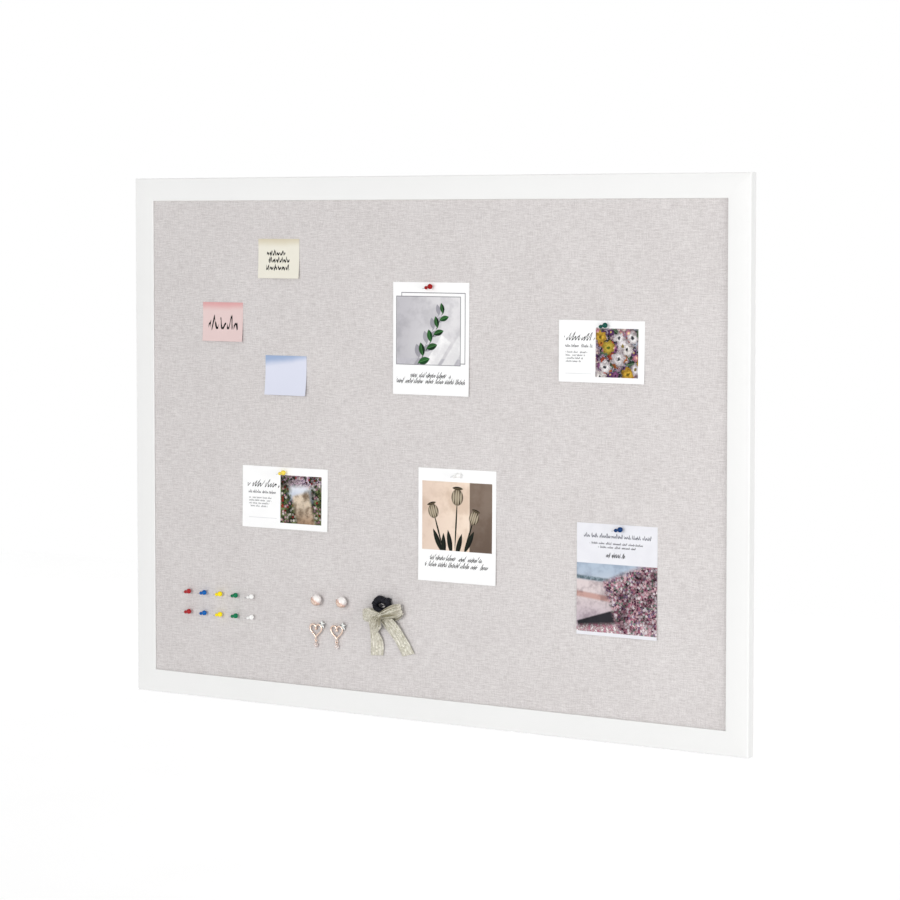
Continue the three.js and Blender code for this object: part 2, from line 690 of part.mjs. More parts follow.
// The cup is the part of a slightly larger ball beyond a plane that crosses the pearl.
function cupGeometry() {
  const reach = 2 * (PEARL_RADIUS + CUP_WALL);
  const keep = new THREE.BoxGeometry(reach, reach, reach).translate(0, reach / 2 + CUP_OVERLAP, 0);
  const cap = common(pearlBall(PEARL_RADIUS + CUP_WALL), keep);
  const turn = new THREE.Quaternion().setFromUnitVectors(new THREE.Vector3(0, 1, 0), CUP_DIRECTION);
  return cap.applyQuaternion(turn);
}

function addStud(side, x, z) {
  const place = new THREE.Vector3(x, LINEN_FRONT, z);
  const group = standing(place, OUT);
  const reach = SEAT_GAP + CUP_WALL + PEARL_RADIUS;
  const cup = cupGeometry().applyQuaternion(group.quaternion.clone().invert());
  const pearl = join(pearlBall(PEARL_RADIUS), cup).translate(0, reach, 0);
  addMesh(group, "pearl_stud_" + side, join(pearl, postGeometry(reach)), PEARL);
  addPanelHole(place, OUT, POST_RADIUS, POST_BITE);
}

// Point of the heart curve, from its cleft at 0 to its tip at half a turn.
function heartPoint(turn) {
  const x = Math.sin(turn) ** 3;
  const z = HEART_CURVE.reduce((sum, term, i) => sum + term * Math.cos((i + 1) * turn), 0);
  return onXZ((x * HEART_WIDTH) / 2, (z * HEART_HEIGHT) / HEART_CURVE_RISE);
}
const HEART_TIP = heartPoint(Math.PI);
const HEART_CLEFT = heartPoint(0);

function starGeometry() {
  const shape = new THREE.Shape();
  for (let i = 0; i < 2 * STAR_POINTS; i++) {
    const turn = (Math.PI * i) / STAR_POINTS + Math.PI / 2;
    const radius = i % 2 ? STAR_INNER_RADIUS : STAR_RADIUS;
    shape[i ? "lineTo" : "moveTo"](radius * Math.cos(turn), radius * Math.sin(turn));
  }
  const star = new THREE.ExtrudeGeometry(shape, { depth: STAR_THICKNESS, bevelEnabled: false });
  return star.rotateX(Math.PI / 2).translate(STAR_X, STAR_THICKNESS / 2, STAR_Z);
}

// A small wire eye that stands in the plane with the given normal.
function eyeGeometry(centre, across, normal) {
  const points = Array.from({ length: EYE_STEPS }, (_, i) => {
    const turn = (2 * Math.PI * i) / EYE_STEPS;
    const point = centre.clone().addScaledVector(across, EYE_RADIUS * Math.cos(turn));
    return point.addScaledVector(UP, EYE_RADIUS * Math.sin(turn));
  });
  return wireLoop(points, normal, () => EYE_WIRE_RADIUS, WIRE_SIDES);
}

const HEART_PLANE = LINEN_FRONT - SEAT_GAP - HEART_STANDOFF - BEAD_RADIUS;
const LOWER_EYE = HEART_TIP.clone().addScaledVector(UP, -HEART_WIRE_RADIUS - EYE_RADIUS);
const DROP_HINGE = LOWER_EYE.clone().addScaledVector(UP, 2 * EYE_WIRE_RADIUS + SEAT_GAP - EYE_RADIUS);

function addHeart(side, x, z) {
  const turns = Array.from({ length: HEART_STEPS }, (_, i) => (2 * Math.PI * i) / HEART_STEPS);
  const outline = turns.map((turn) => heartPoint(-turn));
  const right = new THREE.Vector3(1, 0, 0);
  const standoff = LINEN_FRONT - HEART_PLANE;
  const postFoot = onXZ(0, HEART_CLEFT.z - BEAD_RADIUS).setY(standoff);
  const heart = join(
    wireLoop(outline, OUT, () => HEART_WIRE_RADIUS, WIRE_SIDES),
    beadBall(BEAD_RADIUS).translate(0, 0, postFoot.z),
    starGeometry(),
    eyeGeometry(LOWER_EYE, right, OUT),
    postGeometry(standoff).applyMatrix4(stand(postFoot, OUT)),
  );
  const group = new THREE.Group();
  group.position.set(x, HEART_PLANE, z);
  board.add(group);
  addMesh(group, "heart_earring_" + side, heart, ROSE_GOLD);
  addPanelHole(postFoot.clone().add(group.position), OUT, POST_RADIUS, POST_BITE);

  const swing = new THREE.Group();
  swing.position.copy(DROP_HINGE);
  group.add(swing);
  const upperEye = onXZ(0, -EYE_RADIUS);
  const stone = beadBall(DROP_STONE_RADIUS);
  stone.translate(0, 0, upperEye.z - EYE_RADIUS - DROP_STONE_RADIUS);
  const drop = join(eyeGeometry(upperEye, OUT.clone().negate(), right), stone);
  addMesh(swing, "heart_drop_" + side, drop, ROSE_GOLD);
}

// Hair tie and bow

function tieGeometry(spare) {
  const points = Array.from({ length: TIE_STEPS }, (_, i) => {
    const turn = (2 * Math.PI * i) / TIE_STEPS;
    return onXZ(TIE_HALF_WIDTH * Math.cos(turn), TIE_HALF_HEIGHT * Math.sin(turn));
  });
  const radiusAt = (i) =>
    TIE_TUBE_RADIUS + spare + TIE_CRINKLE * Math.sin((2 * Math.PI * TIE_CRINKLES * i) / TIE_STEPS);
  return wireLoop(points, OUT, radiusAt, TIE_SIDES);
}

// A strip of ribbon along a path. Its width lies along across, and folds run the length of it.
function ribbon(path, across, halfWidthAt) {
  const sections = path.map((point, i) => {
    const before = path[Math.max(0, i - 1)];
    const after = path[Math.min(path.length - 1, i + 1)];
    const along = after.clone().sub(before).normalize();
    const wide = across.clone().addScaledVector(along, -across.dot(along)).normalize();
    const face = along.clone().cross(wide);
    const edge = (k, lift) => {
      const share = (2 * k) / (RIBBON_ACROSS - 1) - 1;
      const fold = RIBBON_FOLD * Math.cos(share * RIBBON_WAVES * Math.PI);
      return point
        .clone()
        .addScaledVector(wide, share * halfWidthAt(i / (path.length - 1)))
        .addScaledVector(face, fold + lift);
    };
    const steps = Array.from({ length: RIBBON_ACROSS }, (_, k) => k);
    const front = steps.map((k) => edge(k, RIBBON_THICKNESS / 2));
    const back = steps.map((k) => edge(k, -RIBBON_THICKNESS / 2));
    return [...front, ...back.reverse()];
  });
  return loft(sections, false);
}

const widen = (share) => THREE.MathUtils.smoothstep(share, 0, 1);

function bowLoop(loop) {
  const along = new THREE.Vector3(loop.side * Math.cos(loop.tilt), 0, Math.sin(loop.tilt));
  const across = new THREE.Vector3(-loop.side * Math.sin(loop.tilt), 0, Math.cos(loop.tilt));
  const path = Array.from({ length: RIBBON_STEPS + 1 }, (_, i) => {
    const turn = Math.PI * (i / RIBBON_STEPS - 0.5);
    const reach = loop.length * Math.cos(turn);
    return along.clone().multiplyScalar(reach).addScaledVector(OUT, (LOOP_DEPTH / 2) * Math.sin(turn));
  });
  const halfWidthAt = (share) =>
    THREE.MathUtils.lerp(RIBBON_GATHER, RIBBON_WIDTH, widen(1 - Math.abs(2 * share - 1))) / 2;
  return ribbon(path, across, halfWidthAt);
}

function bowTail(tail) {
  const path = Array.from({ length: RIBBON_STEPS + 1 }, (_, i) => {
    const share = i / RIBBON_STEPS;
    const sway = tail.sway * Math.sin(Math.PI * share) * (1 - share);
    const back = (BOW_OUT - RIBBON_FOLD - RIBBON_THICKNESS) * widen(share / TAIL_FLARE);
    return new THREE.Vector3(tail.endX * share - sway, back - RIBBON_FOLD, tail.endZ * share);
  });
  const halfWidthAt = (share) =>
    THREE.MathUtils.lerp(RIBBON_GATHER, RIBBON_WIDTH, widen(share / TAIL_FLARE)) / 2;
  return ribbon(path, new THREE.Vector3(1, 0, 0), halfWidthAt);
}

// Where the nail touches the inside of the ring, above the middle of the tie's weight.
function nailInTie() {
  const turn = NAIL_TURN;
  const middle = onXZ(TIE_HALF_WIDTH * Math.cos(turn), TIE_HALF_HEIGHT * Math.sin(turn));
  const inward = onXZ(-TIE_HALF_HEIGHT * Math.cos(turn), -TIE_HALF_WIDTH * Math.sin(turn)).normalize();
  return middle.addScaledVector(inward, TIE_TUBE_RADIUS + TIE_CRINKLE + SEAT_GAP + NAIL_RADIUS);
}

function addHairTie() {
  const group = new THREE.Group();
  const tieOut = TIE_TUBE_RADIUS + TIE_CRINKLE + SEAT_GAP;
  group.position.set(-OPENING_X + TIE_FROM_LEFT, LINEN_FRONT - tieOut, -OPENING_Z + TIE_FROM_BOTTOM);
  board.add(group);
  addMesh(group, "hair_tie", tieGeometry(0), BLACK_CLOTH);
  const knot = beadBall(1).scale(KNOT_WIDTH / 2, KNOT_DEPTH / 2, KNOT_HEIGHT / 2);
  const bow = join(knot, ...LOOPS.map(bowLoop), ...TAILS.map(bowTail));
  bow.translate(0, tieOut - BOW_OUT - SEAT_GAP, -BOW_BELOW_TIE);
  addMesh(group, "hair_bow", cut(bow, tieGeometry(SEAT_GAP)), RIBBON);

  const nailPlace = nailInTie().add(group.position).setY(LINEN_FRONT);
  const shank = 2 * tieOut;
  const profile = [
    new THREE.Vector2(0, -NAIL_BITE),
    new THREE.Vector2(NAIL_RADIUS, -NAIL_BITE + 2 * NAIL_RADIUS),
    new THREE.Vector2(NAIL_RADIUS, shank),
    new THREE.Vector2(NAIL_HEAD_RADIUS, shank),
    new THREE.Vector2(NAIL_HEAD_RADIUS, shank + NAIL_HEAD_HEIGHT),
    new THREE.Vector2(0, shank + NAIL_HEAD_HEIGHT),
  ];
  const nail = new THREE.LatheGeometry(profile, NAIL_SIDES);
  addMesh(standing(nailPlace, OUT), "tie_nail", nail, BLACK_STEEL);
  addPanelHole(nailPlace, OUT, NAIL_RADIUS, NAIL_BITE);
}

// Panel: linen folded round cork and hardboard, with a hole for each needle and post
function addPanel() {
  const insideX = PANEL_X - LINEN_THICKNESS;
  const insideZ = PANEL_Z - LINEN_THICKNESS;
  const sheetX = insideX - GLUE_LINE;
  const sheetZ = insideZ - GLUE_LINE;
  const wrap = slab(PANEL_X, LINEN_FRONT, LINEN_REAR, PANEL_Z);
  const inside = slab(insideX, LINEN_FRONT + LINEN_THICKNESS, BACKING_REAR + GLUE_LINE, insideZ);
  const window = slab(PANEL_X - LINEN_TURNOVER, BACKING_FRONT, OVERCUT, PANEL_Z - LINEN_TURNOVER);
  addMesh(board, "linen_cover", cut(wrap, inside, window, ...panelHoles), LINEN);
  const cork = slab(sheetX, CORK_FRONT, CORK_FRONT + CORK_THICKNESS, sheetZ);
  addMesh(board, "cork_sheet", cut(cork, ...panelHoles), CORK);
  const backing = slab(sheetX, BACKING_FRONT, BACKING_REAR, sheetZ);
  addMesh(board, "backing_board", cut(backing, ...panelHoles), HARDBOARD);
}

addFrame();
addSparePins();
CARDS.forEach(addCard);
NOTES.forEach(addNote);
const PAIR = { left: 0, right: 1 };
for (const [side, step] of Object.entries(PAIR)) {
  addStud(side, -OPENING_X + STUDS_FROM_LEFT + step * STUD_PITCH, -OPENING_Z + STUDS_FROM_BOTTOM);
  addHeart(side, -OPENING_X + HEARTS_FROM_LEFT + step * HEART_PITCH, -OPENING_Z + HEARTS_FROM_BOTTOM);
}
addHairTie();
addPanel();

export default board;
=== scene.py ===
import json
import math

import bmesh
import bpy
from mathutils import Matrix, Vector, noise


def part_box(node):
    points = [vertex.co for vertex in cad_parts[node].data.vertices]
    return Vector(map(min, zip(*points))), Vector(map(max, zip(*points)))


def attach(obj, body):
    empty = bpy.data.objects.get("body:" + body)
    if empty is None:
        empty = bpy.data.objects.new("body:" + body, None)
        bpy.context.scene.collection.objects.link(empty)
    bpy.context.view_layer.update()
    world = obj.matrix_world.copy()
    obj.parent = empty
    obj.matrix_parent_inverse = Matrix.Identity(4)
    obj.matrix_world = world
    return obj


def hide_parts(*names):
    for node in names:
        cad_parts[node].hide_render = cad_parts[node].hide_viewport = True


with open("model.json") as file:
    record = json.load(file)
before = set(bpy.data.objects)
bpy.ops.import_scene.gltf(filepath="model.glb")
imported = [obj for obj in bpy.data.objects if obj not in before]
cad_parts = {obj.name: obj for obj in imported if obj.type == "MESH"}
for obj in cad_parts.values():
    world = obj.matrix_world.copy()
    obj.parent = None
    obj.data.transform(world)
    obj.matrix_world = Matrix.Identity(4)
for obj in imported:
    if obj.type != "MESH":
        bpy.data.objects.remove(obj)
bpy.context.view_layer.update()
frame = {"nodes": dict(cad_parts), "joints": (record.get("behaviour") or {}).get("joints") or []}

# +Z is up, the linen faces -Y, and +X is to the right of someone who looks at the board.
# Blender's unit is the metre. Named sizes are in millimetres, apart from those times MM and the studio's.
MM = 0.001
OUT = Vector((0, -1, 0))
RIGHT = Vector((1, 0, 0))
UP = Vector((0, 0, 1))
LINEN_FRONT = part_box("linen_cover")[0].y
JOINTS = {joint["name"]: joint for joint in frame["joints"]}


# Tools for shader nodes

class Nodes:
    """Adds nodes to one shader tree. Each call gives back the output that is used next."""

    def __init__(self, tree):
        self.tree = tree

    def feed(self, socket, value):
        """Links an output to a socket, or sets the socket to a plain value or a colour's hex code."""
        if isinstance(value, bpy.types.NodeSocket):
            self.tree.links.new(value, socket)
        elif isinstance(value, str):
            socket.default_value = colour(value)
        else:
            socket.default_value = value

    def add(self, kind, inputs, out=0, **settings):
        """A node of a kind, with its settings made before its inputs are fed."""
        node = self.tree.nodes.new("ShaderNode" + kind)
        for name, value in settings.items():
            setattr(node, name, value)
        for socket, value in inputs.items():
            self.feed(node.inputs[socket], value)
        return node.outputs[out]

    def calc(self, operation, first, second=0.0, third=0.0):
        return self.add("Math", {0: first, 1: second, 2: third}, operation=operation)

    def times(self, first, second):
        return self.calc("MULTIPLY", first, second)

    def times_plus(self, first, second, added):
        return self.calc("MULTIPLY_ADD", first, second, added)

    def minus(self, first, second):
        return self.calc("SUBTRACT", first, second)

    def mix(self, share, first, second, blend="MIX"):
        sockets = {0: share, 6: first, 7: second}
        return self.add("Mix", sockets, out=2, data_type="RGBA", blend_type=blend)

    def span(self, value, low, high, first=0.0, last=1.0):
        """Carries value from low..high to first..last along a soft curve, and holds it there."""
        sockets = {"Value": value, "From Min": low, "From Max": high, "To Min": first, "To Max": last}
        return self.add("MapRange", sockets, interpolation_type="SMOOTHSTEP")

    def spread(self, grain, first=0.0, last=1.0):
        """Carries a noise, which lies mostly between 0.3 and 0.7, to first..last."""
        return self.span(grain, 0.3, 0.7, first, last)

    def split(self, vector):
        return self.add("SeparateXYZ", {0: vector}).node.outputs

    def stretch(self, vector, factors):
        return self.add("VectorMath", {0: vector, 1: factors}, operation="MULTIPLY")

    def noise(self, vector, scale, detail=2.0, roughness=0.5):
        sockets = {"Vector": vector, "Scale": scale, "Detail": detail, "Roughness": roughness}
        return self.add("TexNoise", sockets)

    def streaks(self, vector, factors, detail=2.0, roughness=0.5):
        """Noise that is finer in some directions than in others."""
        return self.noise(self.stretch(vector, factors), 1.0, detail, roughness)

    def line_noise(self, along):
        return self.add("TexNoise", {"W": along, "Scale": 1.0, "Detail": 1.0}, noise_dimensions="1D")

    def solid_place(self):
        """Object coordinates in millimetres."""
        place = self.add("TexCoord", {}, out="Object")
        return self.add("Mapping", {"Vector": place, "Scale": (1 / MM,) * 3})

    def face_place(self, middle=Vector((0, 0, 0))):
        """Millimetres on the board's face from a middle point, with X to the right and Y up."""
        sockets = {
            "Vector": self.add("TexCoord", {}, out="Object"),
            "Location": (-middle.x / MM, -middle.z / MM, 0),
            "Rotation": (-math.pi / 2, 0, 0),
            "Scale": (1 / MM,) * 3,
        }
        return self.add("Mapping", sockets)

    def cloth_place(self, length, width):
        """Millimetres along and across a strip of cloth, from its own UV map."""
        place = self.add("TexCoord", {}, out="UV")
        return self.add("Mapping", {"Vector": place, "Scale": (length, width, 1)})

    def bump(self, height, strength, depth):
        return self.add("Bump", {"Height": height, "Strength": strength, "Distance": depth})

    def palette(self, share, codes):
        """One of several flat colours, picked by a share from 0 to 1."""
        picked = self.add("ValToRGB", {0: share})
        ramp = picked.node.color_ramp
        ramp.interpolation = "CONSTANT"
        while len(ramp.elements) < len(codes):
            ramp.elements.new(1.0)
        for i, code in enumerate(codes):
            ramp.elements[i].position = i / len(codes)
            ramp.elements[i].color = colour(code)
        return picked

    def effect(self, name, inputs):
        """A shared effect's outputs, with its own values for this material."""
        return self.add("Group", inputs, node_tree=bpy.data.node_groups[name]).node.outputs


def colour(code):
    """Linear colour of a six figure hex code."""
    shares = [int(code[i:i + 2], 16) / 255 for i in (0, 2, 4)]
    linear = [s / 12.92 if s <= 0.04045 else ((s + 0.055) / 1.055) ** 2.4 for s in shares]
    return (*linear, 1.0)


def shared_effect(name, values, outputs, build):
    """A node group of a vector and named values. build(nodes, given) makes its outputs in order."""
    tree = bpy.data.node_groups.new(name, "ShaderNodeTree")
    tree.interface.new_socket("Vector", in_out="INPUT", socket_type="NodeSocketVector")
    for sockets, side in ((values, "INPUT"), (outputs, "OUTPUT")):
        for socket in sockets:
            tree.interface.new_socket(socket, in_out=side, socket_type="NodeSocketFloat")
    given = tree.nodes.new("NodeGroupInput").outputs
    sink = tree.nodes.new("NodeGroupOutput")
    nodes = Nodes(tree)
    for socket, value in zip(sink.inputs, build(nodes, given)):
        nodes.feed(socket, value)


def finish(fixed):
    """Turns a function that paints with nodes into one that makes a material of a given name.

    The fixed values sit on the shader's sockets, and what the function gives back is linked to the rest.
    """
    def maker_of(paint):
        def make(name, *facts):
            made = bpy.data.materials.new(name)
            made.use_nodes = True
            shader = made.node_tree.nodes["Principled BSDF"]
            for socket, value in fixed.items():
                shader.inputs[socket].default_value = value
            nodes = Nodes(made.node_tree)
            for socket, value in paint(nodes, *facts).items():
                nodes.feed(shader.inputs[socket], value)
            return made
        return make
    return maker_of


# Effects that several finishes share

def woven_threads(n, given):
    """Plain weave: threads along X and Y that pass over and under each other."""
    across, along = n.split(given["Vector"])[:2]
    turn = n.calc("DIVIDE", math.pi, given["Pitch"])
    warp = n.calc("SINE", n.times(across, turn))
    weft = n.calc("SINE", n.times(along, turn))
    over = n.times(warp, weft)
    warp_top = n.times(n.calc("ABSOLUTE", warp), n.times_plus(over, 0.45, 0.55))
    weft_top = n.times(n.calc("ABSOLUTE", weft), n.times_plus(over, -0.45, 0.55))
    height = n.calc("MAXIMUM", warp_top, weft_top)
    return height, n.minus(weft_top, warp_top)


def paper_fibre(n, given):
    """Fine fibres and a slow cloudiness, as in uncoated paper."""
    fibre = n.streaks(given["Vector"], (0.7, 2.1, 1.0), 4.0, 0.65)
    cloud = n.noise(given["Vector"], 0.05)
    shade = n.times_plus(fibre, 0.5, n.times(cloud, 0.5))
    return shade, fibre


def window(n, given):
    """A rectangle with soft edges."""
    across, up = n.split(given["Vector"])[:2]
    mask = 1.0
    for value, low, high in ((across, "Left", "Right"), (up, "Bottom", "Top")):
        for edge, side in ((given[low], 1.0), (given[high], -1.0)):
            inside = n.times(n.minus(value, edge), side)
            mask = n.times(mask, n.span(inside, n.times(given["Soft"], -1.0), given["Soft"]))
    return (mask,)


def pen_line(n, given):
    """A scribble in short runs, like a line of quick writing that can't be read."""
    across, up = n.split(given["Vector"])[:2]
    rise = n.minus(up, given["Level"])
    slanted = n.minus(across, n.times(rise, given["Slant"]))
    waves = n.calc("ADD", n.calc("DIVIDE", slanted, given["Pitch"]), given["Seed"])
    swell = n.span(n.line_noise(n.times(waves, 0.9)), 0.46, 0.68, 0.4, 1.0)
    tall = n.times(swell, given["Height"])
    wander = n.times(n.line_noise(n.times(waves, 0.45)), 5.0)
    turn = n.times_plus(waves, 2 * math.pi, wander)
    wave = n.times(tall, n.times_plus(n.calc("SINE", turn), 0.5, 0.5))
    pace = n.times(tall, n.calc("DIVIDE", math.pi, given["Pitch"]))
    slope = n.times(pace, n.calc("COSINE", turn))
    steep = n.calc("SQRT", n.times_plus(slope, slope, 1.0))
    away = n.calc("DIVIDE", n.calc("ABSOLUTE", n.minus(rise, wave)), steep)
    weight = given["Weight"]
    stroke = n.span(away, n.times(weight, 0.35), n.times(weight, 0.65), 1.0, 0.0)
    drift = n.times(n.line_noise(n.times(waves, 0.13)), 0.8)
    words = n.calc("FRACT", n.calc("ADD", n.calc("DIVIDE", waves, given["Run"]), drift))
    begun = n.calc("GREATER_THAN", across, given["Start"])
    ended = n.calc("LESS_THAN", across, given["End"])
    inside = n.times(n.times(begun, ended), n.calc("GREATER_THAN", words, 0.16))
    return (n.times(stroke, inside),)


def leaf_mark(n, given):
    """An oval or a pointed leaf at a place and turn, lighter on one side and along its rib."""
    across, up = n.split(given["Vector"])[:2]
    dx = n.minus(across, given["X"])
    dy = n.minus(up, given["Y"])
    cosine, sine = n.calc("COSINE", given["Turn"]), n.calc("SINE", given["Turn"])
    along = n.times_plus(dx, cosine, n.times(dy, sine))
    beside = n.minus(n.times(dy, cosine), n.times(dx, sine))
    px = n.calc("DIVIDE", along, n.times(given["Length"], 0.5))
    py = n.calc("ABSOLUTE", n.calc("DIVIDE", beside, n.times(given["Width"], 0.5)))
    square = n.times(px, px)
    pointed = n.minus(n.minus(1.0, square), py)
    rounded = n.minus(1.0, n.calc("SQRT", n.times_plus(py, py, square)))
    inside = n.times_plus(n.minus(pointed, rounded), given["Pointed"], rounded)
    lit = n.times(n.span(beside, -0.6, 0.6), 0.3)
    rib = n.span(py, 0.03, 0.14, 0.9, 0.0)
    return n.span(inside, -0.03, 0.12), n.calc("MAXIMUM", lit, rib)


def flower_bed(n, given):
    """Round flowers of many petals, scattered at random, each with its own tone."""
    smaller = n.calc("DIVIDE", 1.0, given["Size"])
    place = n.add("VectorMath", {0: given["Vector"], "Scale": smaller}, operation="SCALE")
    ragged = n.add("TexNoise", {"Vector": place, "Scale": 2.4, "Detail": 2.0}, out="Color")
    place = n.add("VectorMath", {0: ragged, 1: (0.34, 0.34, 0.0), 2: place}, operation="MULTIPLY_ADD")
    sockets = {"Vector": place, "Scale": 1.0, "Randomness": 0.75}
    cell = n.add("TexVoronoi", sockets, voronoi_dimensions="2D").node.outputs
    away = n.add("VectorMath", {0: place, 1: cell["Position"]}, operation="SUBTRACT")
    dx, dy = n.split(away)[:2]
    tone, twist = n.split(cell["Color"])[:2]
    turn = n.times_plus(n.calc("ARCTAN2", dy, dx), given["Petals"], n.times(twist, 6.0))
    reach = n.times_plus(twist, 0.12, 0.38)
    rim = n.times_plus(n.calc("COSINE", turn), 0.06, reach)
    petal = n.span(n.minus(cell["Distance"], rim), -0.05, 0.03, 1.0, 0.0)
    eye = n.span(cell["Distance"], 0.07, 0.15, 1.0, 0.0)
    ruffle = n.calc("SINE", n.times_plus(cell["Distance"], 38.0, n.times(turn, 2.0)))
    shade = n.times_plus(ruffle, 0.16, n.span(cell["Distance"], 0.1, 0.46, 0.1, 0.9))
    return petal, eye, tone, shade


def make_shared_effects():
    shared_effect("Woven threads", ["Pitch"], ["Height", "Side"], woven_threads)
    shared_effect("Paper fibre", [], ["Shade", "Height"], paper_fibre)
    shared_effect("Window", ["Left", "Right", "Bottom", "Top", "Soft"], ["Mask"], window)
    strokes = ["Start", "End", "Level", "Height", "Pitch", "Weight", "Slant", "Run", "Seed"]
    shared_effect("Pen line", strokes, ["Mask"], pen_line)
    leaves = ["X", "Y", "Length", "Width", "Turn", "Pointed"]
    shared_effect("Leaf mark", leaves, ["Mask", "Rib"], leaf_mark)
    shared_effect("Flower bed", ["Size", "Petals"], ["Petal", "Eye", "Tone", "Shade"], flower_bed)


# Finishes of the frame and the panel

@finish({"Specular IOR Level": 0.4})
def satin_white_paint(n):
    place = n.solid_place()
    stipple = n.noise(place, 0.8, 3.0)
    cloud = n.noise(place, 0.006)
    return {
        "Base Color": n.mix(cloud, "eaeae9", "efefee"),
        "Roughness": n.spread(stipple, 0.36, 0.48),
        "Normal": n.bump(stipple, 0.08, 0.2 * MM),
    }


@finish({"Sheen Weight": 0.08, "Specular IOR Level": 0.2})
def woven_linen(n):
    face = n.face_place()
    weave = n.effect("Woven threads", {"Vector": face, "Pitch": 1.2})
    weft_slub = n.streaks(face, (0.06, 0.62, 1.0), 3.0, 0.6)
    warp_slub = n.streaks(face, (0.62, 0.06, 1.0), 3.0, 0.6)
    fleck = n.noise(face, 0.55, 3.0, 0.7)
    cloud = n.noise(face, 0.012)
    shade = n.times_plus(weft_slub, 0.95, n.times(warp_slub, 0.6))
    shade = n.times_plus(fleck, 0.8, shade)
    shade = n.times_plus(cloud, 0.15, shade)
    shade = n.times_plus(weave["Side"], 0.14, shade)
    tint = n.mix(n.span(shade, 0.88, 1.62), "c4bebd", "e6e2e1")
    gap = n.span(weave["Height"], 0.05, 0.35, 0.75, 1.0)
    grown = n.times_plus(weft_slub, 0.5, weave["Height"])
    return {
        "Base Color": n.mix(gap, "b7afad", tint),
        "Roughness": n.spread(fleck, 0.82, 0.95),
        "Normal": n.bump(grown, 0.5, 0.35 * MM),
    }


@finish({"Specular IOR Level": 0.2})
def cork_grain(n):
    place = n.solid_place()
    granule = n.add("TexVoronoi", {"Vector": place, "Scale": 0.4}).node.outputs
    speck = n.noise(place, 1.2, 3.0)
    tone = n.split(granule["Color"])[0]
    return {
        "Base Color": n.mix(n.times(tone, speck), "8f6238", "d0a06a"),
        "Roughness": n.spread(speck, 0.85, 0.97),
        "Normal": n.bump(granule["Distance"], 0.4, 0.6 * MM),
    }


@finish({"Specular IOR Level": 0.25})
def hardboard(n):
    face = n.face_place()
    screen = n.effect("Woven threads", {"Vector": face, "Pitch": 1.6})
    fibre = n.streaks(face, (0.9, 1.4, 1.0), 4.0, 0.65)
    fleck = n.streaks(face, (0.06, 0.13, 1.0), 6.0, 0.72)
    shade = n.times_plus(fibre, 0.35, n.times(fleck, 0.65))
    return {
        "Base Color": n.mix(n.span(shade, 0.34, 0.66), "684729", "997350"),
        "Roughness": n.spread(fibre, 0.75, 0.92),
        "Normal": n.bump(screen["Height"], 0.35, 0.3 * MM),
    }


@finish({"Specular IOR Level": 0.3})
def bare_wood(n):
    place = n.solid_place()
    grain = n.streaks(place, (0.06, 0.7, 0.9), 4.0, 0.6)
    return {
        "Base Color": n.mix(n.spread(grain), "c39d6b", "e2c79d"),
        "Roughness": n.spread(grain, 0.7, 0.85),
        "Normal": n.bump(grain, 0.3, 0.2 * MM),
    }


@finish({"Metallic": 1.0})
def metal(n, dark, light, rough, smooth):
    """Metal with a fine brushed grain and slow stains."""
    place = n.solid_place()
    brushed = n.streaks(place, (3.0, 3.0, 0.3), 3.0)
    stain = n.noise(place, 0.15, 3.0)
    return {
        "Base Color": n.mix(stain, dark, light),
        "Roughness": n.spread(brushed, smooth, rough),
        "Normal": n.bump(brushed, 0.05, 0.1 * MM),
    }


@finish({"Specular IOR Level": 0.16})
def moulded_plastic(n, deep, bright):
    """Glossy moulded plastic with a slight flow of pigment."""
    place = n.solid_place()
    flow = n.streaks(place, (0.25, 0.5, 0.25))
    grain = n.noise(place, 2.5)
    return {
        "Base Color": n.mix(flow, deep, bright),
        "Roughness": n.spread(grain, 0.16, 0.26),
        "Normal": n.bump(grain, 0.04, 0.1 * MM),
    }


# Printed cards: plain generic pictures and lines of scribble, in millimetres from the card's middle

